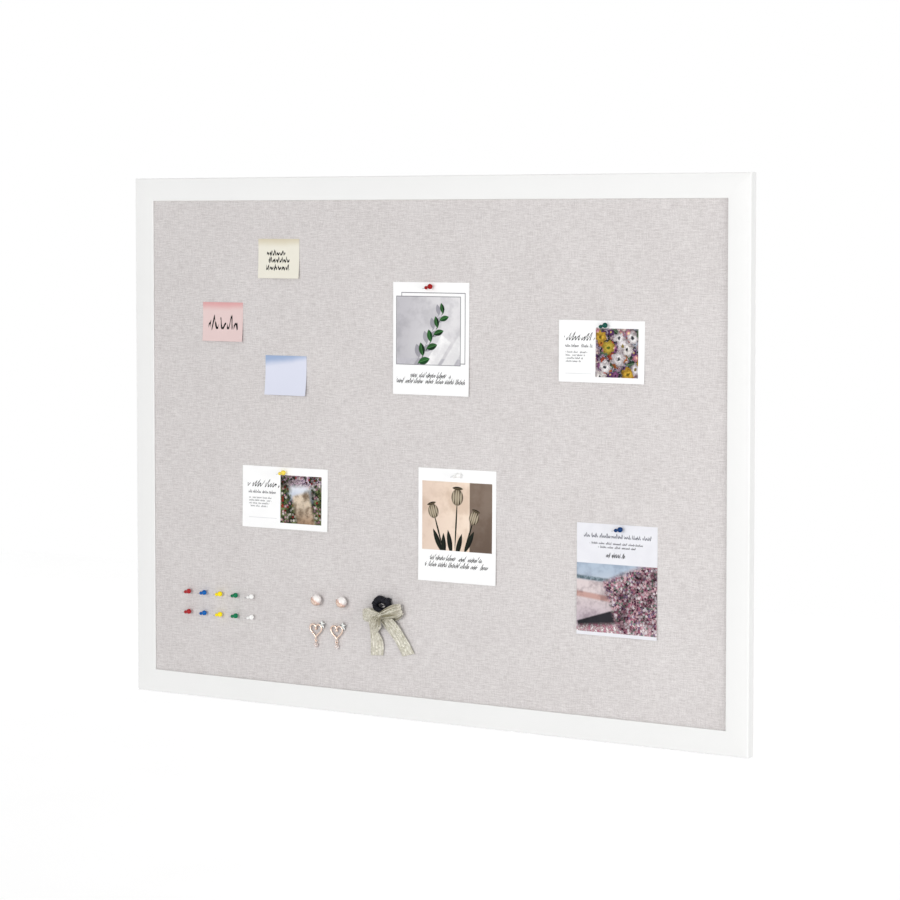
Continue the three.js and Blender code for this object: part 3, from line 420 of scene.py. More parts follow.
class Page:
    """A sheet of paper that is printed layer by layer."""

    def __init__(self, nodes, middle, dark, light):
        self.n = nodes
        self.face = nodes.face_place(middle)
        fibre = nodes.effect("Paper fibre", {"Vector": self.face})
        self.shade, self.fibre = fibre["Shade"], fibre["Height"]
        self.ink = nodes.mix(nodes.spread(self.shade), dark, light)

    def window(self, left, right, bottom, top, soft=0.25, turn=0.0, inside=None):
        """A mask of a rectangle, turned about the page's middle and kept inside another mask."""
        face = self.face
        if turn:
            face = self.n.add("VectorRotate", {"Vector": face, "Angle": turn}, rotation_type="Z_AXIS")
        edges = {"Left": left, "Right": right, "Bottom": bottom, "Top": top, "Soft": soft}
        mask = self.n.effect("Window", {"Vector": face, **edges})["Mask"]
        return mask if inside is None else self.n.times(mask, inside)

    def lay(self, mask, tint):
        """Prints a tint through a mask."""
        self.ink = self.n.mix(mask, self.ink, tint)

    def write(self, lines, tint, slant=0.6, run=7.0, pitch=0.42):
        """Scribble in words of run waves. Each line has a start, end, level, height and weight."""
        for start, end, level, height, weight in lines:
            sockets = {
                "Start": start, "End": end, "Level": level, "Height": height, "Weight": weight,
                "Pitch": pitch * height, "Slant": slant, "Run": run, "Seed": 3.7 * level + 0.9 * start,
            }
            self.lay(self.n.effect("Pen line", {"Vector": self.face, **sockets})["Mask"], tint)

    def leaf(self, x, y, length, width, turn, tints, inside, pointed=1.0):
        """A leaf about a middle point. Its tints are the blade's and the rib's."""
        sockets = {"X": x, "Y": y, "Length": length, "Width": width, "Turn": turn, "Pointed": pointed}
        mark = self.n.effect("Leaf mark", {"Vector": self.face, **sockets})
        blade, rib = tints
        self.lay(self.n.times(mark["Mask"], inside), self.n.mix(mark["Rib"], blade, rib))

    def flowers(self, size, petals, kinds, inside, depth=0.75):
        """Flowers of several kinds, each a petal and an eye colour, that darken towards their rims."""
        bed = self.n.effect("Flower bed", {"Vector": self.face, "Size": size, "Petals": petals})
        rims, eyes = zip(*kinds)
        tint = self.n.palette(bed["Tone"], rims)
        shade = self.n.times(bed["Shade"], depth)
        tint = self.n.mix(shade, tint, "7b6a72", blend="MULTIPLY")
        tint = self.n.mix(bed["Eye"], tint, self.n.palette(bed["Tone"], eyes))
        self.lay(self.n.times(bed["Petal"], inside), tint)

    def thicket(self, scale, codes, inside):
        """Irregular patches of several colours, as leaves and petals run together from far off."""
        tone = self.n.span(self.n.noise(self.face, scale, 5.0, 0.72), 0.38, 0.62)
        self.lay(inside, self.n.palette(tone, codes))

    def mottle(self, scale, tint, depth, inside):
        """Soft patches of shade over a picture."""
        patch = self.n.span(self.n.noise(self.face, scale, 4.0, 0.6), 0.42, 0.66, 0.0, depth)
        patch = self.n.times(patch, inside)
        self.ink = self.n.mix(patch, self.ink, tint, blend="MULTIPLY")

    def wash(self, axis, low, high, first, last):
        """A colour that changes slowly along X (0) or Y (1), with a little cloudiness."""
        along = self.n.split(self.face)[axis]
        cloud = self.n.noise(self.face, 0.06, 3.0)
        drifted = self.n.times_plus(cloud, 0.25 * (high - low), along)
        return self.n.mix(self.n.span(drifted, low, high), first, last)

    def sockets(self):
        return {
            "Base Color": self.ink,
            "Roughness": self.n.spread(self.shade, 0.55, 0.68),
            "Normal": self.n.bump(self.fibre, 0.06, 0.1 * MM),
        }


def sprig_print(page):
    """Grey wall with slanting light and one arching branch of oval leaves."""
    page.lay(page.window(-58.9, 68.3, -41.0, 77.1, 0.1), "77777c")
    page.lay(page.window(-57.6, 67.0, -39.7, 75.8, 0.1), "fafafa")
    page.lay(page.window(-69.4, 59.2, -44.2, 70.9, 0.1), "7d7d82")
    panel = page.window(-68.2, 58.0, -43.0, 69.7, 0.1)
    page.lay(panel, page.wash(0, -60.0, 60.0, "c0bec3", "e2e0e2"))
    page.lay(page.window(-90.0, 90.0, -60.0, -33.0, 0.8, inside=panel), "c4c2c8")
    for left, right, top in ((14.0, 36.0, 18.0), (42.0, 62.0, 36.0)):
        page.lay(page.window(left, right, -70.0, top, 1.6, turn=0.6, inside=panel), "f8f7f7")
    page.mottle(0.03, "c9c8cc", 0.5, panel)
    arching_branch(page, -8.0, ("98969e", "a6a4ab"), "9f9da4", panel)
    arching_branch(page, 0.0, ("0a2610", "143f1c"), "4a8548", panel)
    page.write([(-40, 40, -63.8, 7.0, 1.3), (-68, 68, -73.6, 7.0, 1.3)], "060608")


def arching_branch(page, shift, leaves, rib, inside):
    """A thin stem that leans to the right, with leaves to either side of it."""
    steps = 8
    lean = 1.05
    for i in range(steps):
        share = i / (steps - 1)
        x = -24 + shift + 62 * share - 14 * share * share
        y = -40 + 0.3 * shift + 84 * share
        page.leaf(x, y, 14.0, 1.6, lean, (leaves[0], leaves[0]), inside)
        turn = lean + (0.75 if i % 2 else -0.75)
        reach = 11 * (1 - 0.35 * share)
        x += reach * math.cos(turn)
        y += reach * math.sin(turn)
        page.leaf(x, y, 25 - 6 * share, 13 - 4 * share, turn, (leaves[i % 3 == 0], rib), inside)


def seed_head_print(page):
    """Beige wall with a brown curtain and pale seed heads on dark stems."""
    panel = page.window(-68.9, 68.9, -41.7, 73.1)
    page.lay(panel, page.wash(0, -69.0, 30.0, "e2ccbc", "f2decc"))
    curtain = page.window(25.0, 80.0, -60.0, 90.0, 0.8, inside=panel)
    page.lay(curtain, page.wash(1, -41.0, 73.0, "6f6056", "847468"))
    page.mottle(0.025, "d9cfc6", 0.6, panel)
    for lean, foot, height, size in ((-0.30, -26, 70, 21), (0.05, -4, 92, 24), (0.32, 14, 62, 20)):
        seed_head(page, lean, foot, height, size, panel)
    for x, y, turn in ((-38, -26, 2.0), (24, -26, 1.1), (-14, -28, 1.75), (4, -33, 1.3), (-26, -34, 1.6)):
        page.leaf(x, y, 44.0, 10.0, turn, ("0a0d09", "232c20"), panel)
    page.write([(-53, 50, -57.6, 7.0, 1.3), (-63, 62, -68.8, 7.0, 1.3)], "060608")


def seed_head(page, lean, foot, height, size, inside):
    """A ribbed oval head with a flat crown, on a stem that leans from its foot."""
    ground = -44
    turn = math.pi / 2 - lean
    across, along = math.cos(turn), math.sin(turn)
    top_x = foot + math.sin(lean) * height
    top_y = ground + math.cos(lean) * height
    page.leaf((foot + top_x) / 2, (top_y + ground) / 2, height, 3.2, turn, ("14180f", "2f3428"), inside)
    page.leaf(top_x, top_y, 1.2 * size, size, turn, ("4d4335", "8d7f69"), inside, pointed=0.0)
    for rib in (-0.6, -0.2, 0.2, 0.6):
        beside = 0.5 * rib * size
        length = 1.15 * size * math.sqrt(1 - rib * rib)
        x, y = top_x + beside * along, top_y - beside * across
        page.leaf(x, y, length, 0.17 * size, turn, ("a39680", "cfc4b0"), inside)
    x, y = top_x + 0.62 * size * across, top_y + 0.62 * size * along
    crown = ("2c261d", "75684f")
    page.leaf(x, y, 0.9 * size, 0.26 * size, turn + math.pi / 2, crown, inside, pointed=0.4)


def blossom_print(page):
    """Heading lines over a meadow: pale sky, a far hedge and a bank of small blossom."""
    picture = page.window(-80.0, 80.0, -84.9, 25.9)
    page.lay(picture, page.wash(1, -30.0, 26.0, "d5d3db", "b4c2d2"))
    page.mottle(0.05, "c9ccd6", 0.6, picture)
    hedge = page.window(-90.0, 90.0, -5.0, 1.5, 2.0, turn=0.06, inside=picture)
    page.thicket(0.15, ["4d5c66", "6f8089", "59686c", "8796a0"], hedge)
    field = page.window(-90.0, 90.0, -90.0, -5.0, 2.0, turn=0.06, inside=picture)
    page.lay(field, page.wash(1, -70.0, -6.0, "c0b2bb", "dccfcf"))
    page.lay(page.window(-90.0, 30.0, -36.0, -27.0, 2.0, turn=0.1, inside=field), "c59f97")
    page.lay(page.window(-90.0, -4.0, -66.0, -44.0, 1.5, turn=-0.3, inside=field), "2a292e")
    page.mottle(0.06, "a89ea6", 0.6, field)
    bank = page.window(-26.0, 120.0, -120.0, 6.0, 6.0, turn=-0.4, inside=picture)
    near = page.window(-90.0, 90.0, -90.0, -70.0, 6.0, turn=-0.1, inside=picture)
    darks = ["2a2026", "4f6358"]
    pinks = ["a9647a", "d9aab4", "6c3650", "c58594", "6d8577", "f0e6e8", "b5727f", "3a4840"]
    page.thicket(0.14, darks + pinks, bank)
    page.thicket(0.17, pinks + ["f0e6e8"], near)
    blossoms = [
        ("fbf4f6", "9a5a70"), ("b9748c", "4a2434"), ("927a99", "3d2b46"), ("7f9487", "3a4a40"),
        ("e9c3cb", "a9647a"), ("6a3d55", "2a2026"), ("e4dbe2", "7c6070"),
    ]
    page.flowers(4.6, 5.0, blossoms, bank, 0.6)
    page.mottle(0.05, "80707a", 0.85, bank)
    page.write([(-61, 63, 68.8, 5.2, 1.2)], "3f4250", slant=0.0, run=6.0, pitch=0.6)
    smaller = [(-50, 49, 58.0, 2.8, 0.8), (-34.5, 34.5, 52.0, 2.8, 0.8)]
    page.write(smaller, "33333a", slant=0.2, pitch=0.7)
    page.write([(-20.0, 15.0, 38.0, 5.4, 1.7)], "0c0c10", slant=0.3, run=4.5, pitch=0.6)


def greeting_lines(page, left, right):
    """A title, a smaller line, four small lines and a faint rule beside a picture."""
    page.write([(left, right, 18.5, 11.0, 1.6)], "101014", run=5.0, pitch=0.5)
    page.write([(left + 2, right - 5, 7.0, 4.4, 1.0)], "4a4a50", slant=0.0, pitch=0.55)
    small = [(left + 3, right - 14 - 4 * i, -2.5 - 4.9 * i, 2.4, 0.7) for i in range(4)]
    page.write(small, "6d6d72", slant=0.0, pitch=0.7)
    page.lay(page.window(left + 3, right - 6, -36.3, -35.7, 0.2), "c9c9cc")


def bouquet_print(page):
    """Closely packed garden flowers over dark leaves."""
    picture = page.window(-10.6, 67.5, -40.8, 37.6)
    backdrop = ["1b1f1c", "3d5a44", "6f4a7a", "c3bccb", "2c2a2c", "b07a9c", "5d6f4a", "d7c3bd"]
    page.thicket(0.1, backdrop, picture)
    for i in range(9):
        x, y = -6 + 9 * i, 30 - 16 * (i % 4)
        page.leaf(x, y, 26.0, 9.0, 0.5 + 1.3 * i, ("263b2b", "7f9c78"), picture)
    small = [
        ("9a5f8f", "2e1a33"), ("cf7a3a", "5a3a10"), ("d9c7cb", "4a4650"), ("6a4072", "e0c25c"),
        ("c25a45", "4a140c"), ("b4bcc8", "2c2c33"), ("d694a2", "f0dca0"),
    ]
    large = [
        ("fbf7f3", "2b2a2e"), ("ddb240", "6d5a14"), ("d0664a", "5b1c10"), ("e2b2b4", "e8d28a"),
        ("f8f5f5", "3a3b42"), ("7d4b7a", "241327"), ("c9b045", "55661e"), ("f3eef0", "8a7a3c"),
    ]
    page.flowers(14.0, 6.0, small, picture, 0.9)
    page.flowers(25.0, 7.0, large, picture)
    page.mottle(0.12, "8d8284", 0.7, picture)
    greeting_lines(page, -69.3, -12.0)


def garden_print(page):
    """A sandy path between hedges and small bright flowers, under a pale sky."""
    picture = page.window(-9.1, 77.6, -42.8, 39.8)
    page.thicket(0.09, ["1c2414", "3f4d2c", "6c7a48", "2c3620", "a3a87a", "4d5c34", "869060"], picture)
    sky = page.window(8.0, 60.0, -4.0, 26.0, 7.0, inside=picture)
    page.lay(sky, page.wash(1, -4.0, 26.0, "aab6cc", "e6e9f0"))
    path = page.window(16.0, 52.0, -60.0, 0.0, 4.0, turn=-0.25, inside=picture)
    page.lay(path, page.wash(1, -42.0, 0.0, "a88a70", "dccbb6"))
    page.mottle(0.08, "a39080", 0.8, path)
    arbour = page.window(-20.0, 90.0, 22.0, 60.0, 6.0, inside=picture)
    page.thicket(0.13, ["2c2a30", "8a6a92", "5d6a48", "d8bdd0", "4a3a4c", "efe4ea", "b58aa8"], arbour)
    middle = page.window(14.0, 54.0, -60.0, 26.0, 6.0, turn=-0.25)
    bed = page.n.times(page.n.minus(1.0, middle), picture)
    plants = [
        ("3f4d2c", "6c7a48"), ("b57f9c", "e7cf7a"), ("f2ecea", "d9b54a"), ("a83a30", "3f100c"),
        ("6c7a48", "1c2414"), ("d6a8ba", "f0e0b0"), ("f7f3f0", "cfae5a"), ("2c3620", "4d5c34"),
    ]
    page.flowers(5.6, 5.0, plants, bed)
    page.mottle(0.06, "5d6352", 0.8, bed)
    page.mottle(0.04, "8f8c84", 0.6, picture)
    greeting_lines(page, -79.6, -11.0)


@finish({"Specular IOR Level": 0.12})
def printed_card(n, middle, paper, draw):
    page = Page(n, middle, *paper)
    draw(page)
    return page.sockets()


@finish({"Specular IOR Level": 0.15})
def note_paper(n, middle, strip, body, lean, pen=None):
    """Sticky note paper with painted shade that deepens its colour along the glued strip at its top."""
    page = Page(n, middle, body, body)
    across, up = n.split(page.face)[:2]
    drift = n.times_plus(n.noise(page.face, 0.03), 6.0, up)
    drift = n.times_plus(across, -lean, drift)
    # Painted shade: the glued strip is painted deeper in colour, with a soft edge that leans across the
    # note.
    page.ink = n.mix(n.span(drift, *STRIP_PAINTED_SHADE), page.ink, strip)
    if pen:
        lines, run, pitch = pen
        page.write(lines, "0a0a0c", slant=0.1, run=run, pitch=pitch)
    return page.sockets()


@finish({"Specular IOR Level": 0.35})
def plain_card_stock(n):
    """The unprinted back and cut edges of the cards."""
    return Page(n, Vector(), "f0f0ef", "f8f8f7").sockets()


# Finishes of the keepsakes

@finish({"Coat Weight": 0.6, "Coat Roughness": 0.06})
def pearl_nacre(n, middle):
    """Creamy white, with painted shade that greys it below and away from its lit side, and a painted
    reflection of the cup that warms it towards the cup.
    """
    place = n.solid_place()
    swirl = n.noise(place, 0.12, 3.0)

    def towards(direction, low, high):
        along = n.add("VectorMath", {0: place, 1: direction}, out="Value", operation="DOT_PRODUCT")
        start = middle.dot(direction) / MM
        return n.span(along, start + low, start + high)

    nacre_and_painted_shade = n.mix(n.spread(swirl), "fbf8f5", "f4efec")
    # Painted shade: the nacre greys on the side away from the light.
    nacre_and_painted_shade = n.mix(towards(PEARL_PAINTED_LIGHT_SIDE, -3.0, 8.0), "c3bab8", nacre_and_painted_shade)
    return {
        # Painted reflection of the rose-gold cup: the nacre warms towards it.
        "Base Color": n.mix(towards(CUP_DIRECTION, -4.0, 3.0), nacre_and_painted_shade, "d9ab9a"),
        "Roughness": n.spread(swirl, 0.18, 0.28),
        "Normal": n.bump(n.noise(place, 0.9), 0.03, 0.1 * MM),
    }


@finish({"IOR": 1.8, "Coat Weight": 0.8, "Coat Roughness": 0.02})
def cut_stone(n):
    """A clear stone with painted glints: patches of its facets are painted white or dark as if they
    flashed.
    """
    place = n.solid_place()
    painted_glint = n.noise(place, 0.55)
    return {
        # Painted glints and shade in patches over the facets.
        "Base Color": n.mix(n.span(painted_glint, 0.44, 0.56), "b39a92", "fffaf7"),
        "Roughness": n.spread(painted_glint, 0.04, 0.12),
    }


@finish({"Specular IOR Level": 0.1})
def gathered_black_cloth(n):
    cloth = n.cloth_place(*TIE_CLOTH)
    thread = n.streaks(cloth, (4.0, 0.6, 1.0), 3.0)
    crease = n.streaks(cloth, (0.9, 0.12, 1.0), 3.0, 0.6)
    return {
        # Painted sheen: streaks along the creases are painted bluish grey over the near-black cloth, in
        # place of satin highlights.
        "Base Color": n.mix(n.span(crease, 0.35, 0.68), "000001", "32323a"),
        "Roughness": n.spread(thread, 0.42, 0.6),
        "Normal": n.bump(n.times_plus(thread, 0.25, crease), 0.7, 0.8 * MM),
    }


@finish({"Sheen Weight": 0.12})
def shimmer_ribbon(n, both_ends, crease_shade_depth):
    """Soft khaki ribbon with a metal thread that glints in short dashes, and painted shade in its creases
    by the knot.
    """
    cloth = n.cloth_place(*RIBBON_CLOTH)
    streak = n.streaks(cloth, (0.1, 1.5, 1.0), 3.0, 0.65)
    patch = n.noise(cloth, 0.22, 3.0, 0.6)
    weave = n.effect("Woven threads", {"Vector": cloth, "Pitch": 0.5})
    dashes = n.stretch(cloth, (0.4, 1.0, 1.0))
    glint = n.add("TexVoronoi", {"Vector": dashes, "Scale": 1.0}).node.outputs
    spark = n.span(n.split(glint["Color"])[0], 0.72, 0.9)
    shade = n.times_plus(patch, 0.6, n.times(streak, 0.6))
    body = n.mix(n.span(shade, 0.42, 0.78), "ada893", "e9e5d9")
    body = n.mix(n.times(spark, 0.6), body, "f4f1e6")
    along = n.split(cloth)[0]
    half = RIBBON_CLOTH[0] / 2
    if both_ends:
        along = n.calc("PINGPONG", along, half)
    crease = n.streaks(cloth, (0.02, 0.45, 1.0))
    # Painted shade: the colour darkens along creases near the knot, most where the ribbon is gathered.
    drawn = n.times(n.span(along, 6.0, half, crease_shade_depth, 0.0), n.span(crease, 0.4, 0.58))
    return {
        "Base Color": n.mix(drawn, body, "a09980", blend="MULTIPLY"),
        "Metallic": n.times(spark, 0.35),
        "Roughness": n.span(spark, 0.0, 1.0, 0.55, 0.3),
        "Normal": n.bump(n.times_plus(streak, 1.6, weave["Height"]), 0.5, 0.35 * MM),
    }


# Tools for meshes

# The angle in radians from which an edge counts as sharp, and the gap in millimetres that a seam may have
CLEAR_ANGLE = 1.0
SEAM = 0.0005


def put(name, data):
    """A new object in the scene."""
    made = bpy.data.objects.new(name, data)
    bpy.context.scene.collection.objects.link(made)
    return made


def put_mesh(name, bm, finishes):
    """A new mesh object with its materials in order. The bmesh is used up."""
    mesh = bpy.data.meshes.new(name)
    bm.to_mesh(mesh)
    bm.free()
    for each in finishes:
        mesh.materials.append(each)
    return put(name, mesh)


def piece(name, bm, finishes, body, replaced=(), sharp=40.0):
    """A finished piece of the object: it rides on a body and stands for its CAD nodes."""
    made = put_mesh(name, bm, finishes)
    made.data.shade_smooth()
    made.data.set_sharp_from_angle(angle=math.radians(sharp))
    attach(made, body)
    if replaced:
        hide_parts(*replaced)
    return made


def thicken(made, thickness, offset=-1.0):
    solid = made.modifiers.new("Thickness", "SOLIDIFY")
    solid.thickness = thickness
    solid.offset = offset


def extrude(bm, shift):
    """Draws all faces out by a shift and keeps the first ones as the other side."""
    grown = bmesh.ops.extrude_face_region(bm, geom=bm.faces[:], use_keep_orig=True)["geom"]
    moved = [item for item in grown if isinstance(item, bmesh.types.BMVert)]
    bmesh.ops.translate(bm, vec=shift, verts=moved)


def with_back(bm, thickness):
    """Gives a sheet that faces the viewer its thickness behind, with the second material there."""
    extrude(bm, -OUT * thickness)
    bmesh.ops.recalc_face_normals(bm, faces=bm.faces)
    for face in bm.faces:
        face.material_index = 0 if face.normal.dot(OUT) > 0.5 else 1
    return bm


def dress(finish_of_node):
    """Gives CAD nodes whose shape is right a better finish."""
    for name, better in finish_of_node.items():
        materials = frame["nodes"][name].data.materials
        materials.clear()
        materials.append(better)


def merged_copy(node):
    """A CAD node's mesh with its loose triangles joined and its flat faces whole."""
    bm = bmesh.new()
    bm.from_mesh(frame["nodes"][node].data)
    bmesh.ops.remove_doubles(bm, verts=bm.verts, dist=0.001 * MM)
    bmesh.ops.dissolve_limit(bm, angle_limit=math.radians(0.5), verts=bm.verts, edges=bm.edges)
    return bm


def shaped_grid(columns, rows, place):
    """A grid from 0, 0 to 1, 1 with a UV map, each of its points moved to place(across, up)."""
    bm = bmesh.new()
    bm.loops.layers.uv.new("UVMap")
    bmesh.ops.create_grid(bm, x_segments=columns, y_segments=rows, size=0.5, calc_uvs=True)
    for vert in bm.verts:
        vert.co = place(vert.co.x + 0.5, vert.co.y + 0.5)
    return bm


def close_up(bm):
    """Merges the seams of a shape that meets itself, fills its open ends and turns its faces outwards."""
    bmesh.ops.remove_doubles(bm, verts=bm.verts, dist=SEAM * MM)
    bmesh.ops.holes_fill(bm, edges=[e for e in bm.edges if e.is_boundary], sides=0)
    bmesh.ops.recalc_face_normals(bm, faces=bm.faces)
    return bm


def joined(first, *others):
    """One bmesh that holds the faces of several."""
    for other in others:
        scratch = bpy.data.meshes.new("scratch")
        other.to_mesh(scratch)
        other.free()
        first.from_mesh(scratch)
        bpy.data.meshes.remove(scratch)
    return first


def ease_edges(bm, radius, segments):
    """Rounds the edges where two faces meet at a clear angle."""
    sharp = [e for e in bm.edges if len(e.link_faces) == 2 and e.calc_face_angle() > CLEAR_ANGLE]
    bmesh.ops.bevel(bm, geom=sharp, offset=radius, segments=segments, profile=0.5,
                    affect="EDGES", material=-1)


def box_middle(node, level):
    """The middle of a CAD node as seen from the front, at a level in Y."""
    low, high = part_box(node)
    return Vector(((low.x + high.x) / 2, level, (low.z + high.z) / 2))


def arc(centre, across, up, start, end, steps):
    """Points of an elliptic arc in a half outline of radius and height. Angles in degrees."""
    turns = [math.radians(start + (end - start) * i / steps) for i in range(steps + 1)]
    return [(centre[0] + across * math.cos(t), centre[1] + up * math.sin(t)) for t in turns]


def turned(profile, sides, place):
    """A round shape: a half outline in millimetres spun about its axis and set in place."""
    bm = bmesh.new()
    points = [bm.verts.new((radius, 0, height)) for radius, height in profile]
    lines = [bm.edges.new(pair) for pair in zip(points, points[1:])]
    bmesh.ops.spin(bm, geom=points + lines, cent=(0, 0, 0), axis=(0, 0, 1), angle=2 * math.pi,
                   steps=sides, use_merge=True, use_duplicate=False)
    bmesh.ops.remove_doubles(bm, verts=bm.verts, dist=SEAM)
    bmesh.ops.recalc_face_normals(bm, faces=bm.faces)
    bmesh.ops.transform(bm, matrix=place @ Matrix.Scale(MM, 4), verts=bm.verts)
    return bm


def standing(point, axis):
    """The place of a round shape whose axis points along axis from a point."""
    return Matrix.Translation(point) @ axis.to_track_quat("Z", "Y").to_matrix().to_4x4()


def ball(middle, radius, steps, sides):
    outline = arc((0, 0), radius, radius, -90, 90, steps)[1:-1]
    return turned([(0, -radius)] + outline + [(0, radius)], sides, standing(middle, UP))


def wire_loop(path, normal, radius, steps, sides):
    """A closed round wire along path(share), a flat loop square to normal, of radius(along, around)."""
    nudge = 0.5 / steps

    def place(along, around):
        ahead = (path(along + nudge) - path(along - nudge)).normalized()
        outward = ahead.cross(normal)
        turn = 2 * math.pi * around
        return path(along) + radius(along, around) * (outward * math.cos(turn) + normal * math.sin(turn))

    return close_up(shaped_grid(steps, sides, place))


def even_wire(path, normal, radius, steps, sides):
    """A closed wire of one radius, which is in millimetres."""
    return wire_loop(path, normal, lambda along, around: radius * MM, steps, sides)


def smooth_step(share):
    share = max(0.0, min(1.0, share))
    return share * share * (3 - 2 * share)


def between(first, last, share):
    return first + (last - first) * share


def flowing(points, share):
    """A point of the smooth curve through points that are an even share apart."""
    far = max(0.0, min(1.0, share)) * (len(points) - 1)
    i = min(int(far), len(points) - 2)
    t = far - i
    before, here, after, beyond = (points[max(0, min(len(points) - 1, i + k))] for k in (-1, 0, 1, 2))
    slope = after - before
    bend = 2 * before - 5 * here + 4 * after - beyond
    twist = 3 * (here - after) + beyond - before
    return here + (slope * t + bend * t ** 2 + twist * t ** 3) / 2


# White frame

RAILS = ("top_rail", "right_rail", "bottom_rail", "left_rail")
MITRE_REACH = 1.0 * MM
MITRE_LINE = 0.02 * MM


def white_rails(paint):
    """The rails, with their ends brought together so that only a hairline is left at each mitre."""
    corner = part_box("right_rail")[1].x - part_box("top_rail")[1].z
    for node in RAILS:
        level = node in ("top_rail", "bottom_rail")
        bm = merged_copy(node)
        for vert in bm.verts:
            past = abs(vert.co.x) - abs(vert.co.z) - corner
            if abs(past) < MITRE_REACH and level:
                vert.co.x += math.copysign(-past - MITRE_LINE, vert.co.x)
            elif abs(past) < MITRE_REACH:
                vert.co.z += math.copysign(past - MITRE_LINE, vert.co.z)
        piece("white_" + node, bm, [paint], "board", [node], sharp=30.0)


# Linen panel

LINEN_THICKNESS = 0.8 * MM
LINEN_TURNOVER = 30 * MM
LINEN_FOLD_RADIUS = 0.7 * MM


def stretched_linen(cloth):
    """One sheet of cloth over the front, round the edges and onto the back of the panel."""
    low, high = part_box("linen_cover")
    bm = bmesh.new()
    bmesh.ops.create_cube(bm, size=1.0)
    bmesh.ops.scale(bm, vec=high - low, verts=bm.verts)
    bmesh.ops.translate(bm, vec=(low + high) / 2, verts=bm.verts)
    bm.normal_update()
    rear = [face for face in bm.faces if face.normal.y > 0.9]
    bmesh.ops.inset_region(bm, faces=rear, thickness=LINEN_TURNOVER)
    bmesh.ops.delete(bm, geom=rear, context="FACES")
    ease_edges(bm, LINEN_FOLD_RADIUS, segments=3)
    cover = piece("stretched_linen", bm, [cloth], "board", ["linen_cover"])
    thicken(cover, LINEN_THICKNESS)


# Push pins

PIN_SIDES = 32
NEEDLE_LENGTH = 14.5
NEEDLE_RADIUS = 0.5
# How far the needle runs into the collar, and the height below which a pin's faces are steel
NEEDLE_OVERLAP = 0.05
STEEL_BELOW = 0.03
# Half outline of the needle's point, as radius and distance from the tip
NEEDLE_POINT = ((0, 0), (0.18, 0.8), (NEEDLE_RADIUS, 2))
COLLAR_RADIUS = 2.9
COLLAR_HEIGHT = 4.6
WAIST_RADIUS = 1.6
WAIST_HEIGHT = 5.2
WAIST_HOLLOW = 1.3
HEAD_RADIUS = 4.4
HEAD_HEIGHT = 7.6
# The shades of the two spare pins of each tint, the card that hangs on a third, and that pin's shades
PINS = {
    "red": (("9a1f24", "b62f33"), "sprig", ("8a0b0c", "a81718")),
    "blue": (("00529b", "0468bd"), "blossom", ("002c60", "033f7a")),
    "yellow": (("f8da00", "ffec2a"), "garden", ("f0d238", "f6df6c")),
    "green": (("006743", "088558"), "bouquet", ("00433a", "055a4c")),
    "white": (("f0f0ee", "fafaf8"), "tulip", ("f0f0ee", "fafaf8")),
}


def pin_outline():
    """Needle, rolled collar, waist and round head. Height 0 is the underside of the collar."""
    needle = [(radius, far - NEEDLE_LENGTH) for radius, far in NEEDLE_POINT]
    needle.append((NEEDLE_RADIUS, NEEDLE_OVERLAP))
    collar_middle = (WAIST_RADIUS, COLLAR_HEIGHT / 2)
    collar = arc(collar_middle, COLLAR_RADIUS - WAIST_RADIUS, COLLAR_HEIGHT / 2, -90, 60, 9)
    waist_middle = (WAIST_RADIUS + WAIST_HOLLOW, COLLAR_HEIGHT + WAIST_HEIGHT / 2)
    waist = arc(waist_middle, WAIST_HOLLOW, WAIST_HEIGHT / 2, 235, 125, 5)
    half = HEAD_HEIGHT / 2
    middle = COLLAR_HEIGHT + WAIST_HEIGHT + half
    head = arc((WAIST_RADIUS, middle), HEAD_RADIUS - WAIST_RADIUS, half, -75, 0, 6)
    crown = arc((0, middle), HEAD_RADIUS, half, 8, 90, 9)[:-1]
    return needle + collar + waist + head + crown + [(0, middle + half)]


def push_pin(node, body, plastic, steel):
    """A pin on the axis that it pulls out along, with its needle's tip where the CAD node has it."""
    axis = Vector(JOINTS[body + "_pull"]["axis"]).normalized()
    points = [vert.co for vert in frame["nodes"][node].data.vertices]
    middle = sum(points, Vector()) / len(points)
    tip = min(point.dot(axis) for point in points)
    foot = middle + axis * (tip + NEEDLE_LENGTH * MM - middle.dot(axis))
    bm = turned(pin_outline(), PIN_SIDES, standing(foot, axis))
    for face in bm.faces:
        if (face.calc_center_median() - foot).dot(axis) < STEEL_BELOW * MM:
            face.material_index = 1
    piece("turned_" + node, bm, [plastic, steel], body, [node], sharp=50.0)


def push_pins(steel):
    for tint, (spare_shades, card, card_shades) in PINS.items():
        plastic = moulded_plastic("Pin plastic " + tint, *spare_shades)
        for row in ("upper", "lower"):
            push_pin(f"spare_pin_{row}_{tint}", f"spare_{row}_{tint}", plastic, steel)
        plastic = moulded_plastic("Card pin plastic " + tint, *card_shades)
        push_pin(card + "_card_pin", card + "_pin", plastic, steel)


# Cards and notes

CURL_COLUMNS = 16
CARD_THICKNESS = 0.4 * MM
WHITE_PAPER = ("f8f8f8", "fefefe")
LILAC_PAPER = ("e6e6ec", "ededf2")
# How far each card's lower left and lower right corners stand off the linen, its paper and its print
CARDS = {
    "sprig": ((1.2, 2.4), WHITE_PAPER, sprig_print),
    "bouquet": ((1.0, 1.8), WHITE_PAPER, bouquet_print),
    "garden": ((1.4, 1.8), WHITE_PAPER, garden_print),
    "tulip": ((1.6, 2.4), WHITE_PAPER, seed_head_print),
    "blossom": ((1.2, 2.2), LILAC_PAPER, blossom_print),
}
NOTE_THICKNESS = 0.3 * MM
# The glued strip's share of a note's height
NOTE_STRIP = 16 / 68
# Heights above a note's middle between which its colour turns to the strip's painted shade
STRIP_PAINTED_SHADE = (21.0, 37.0)
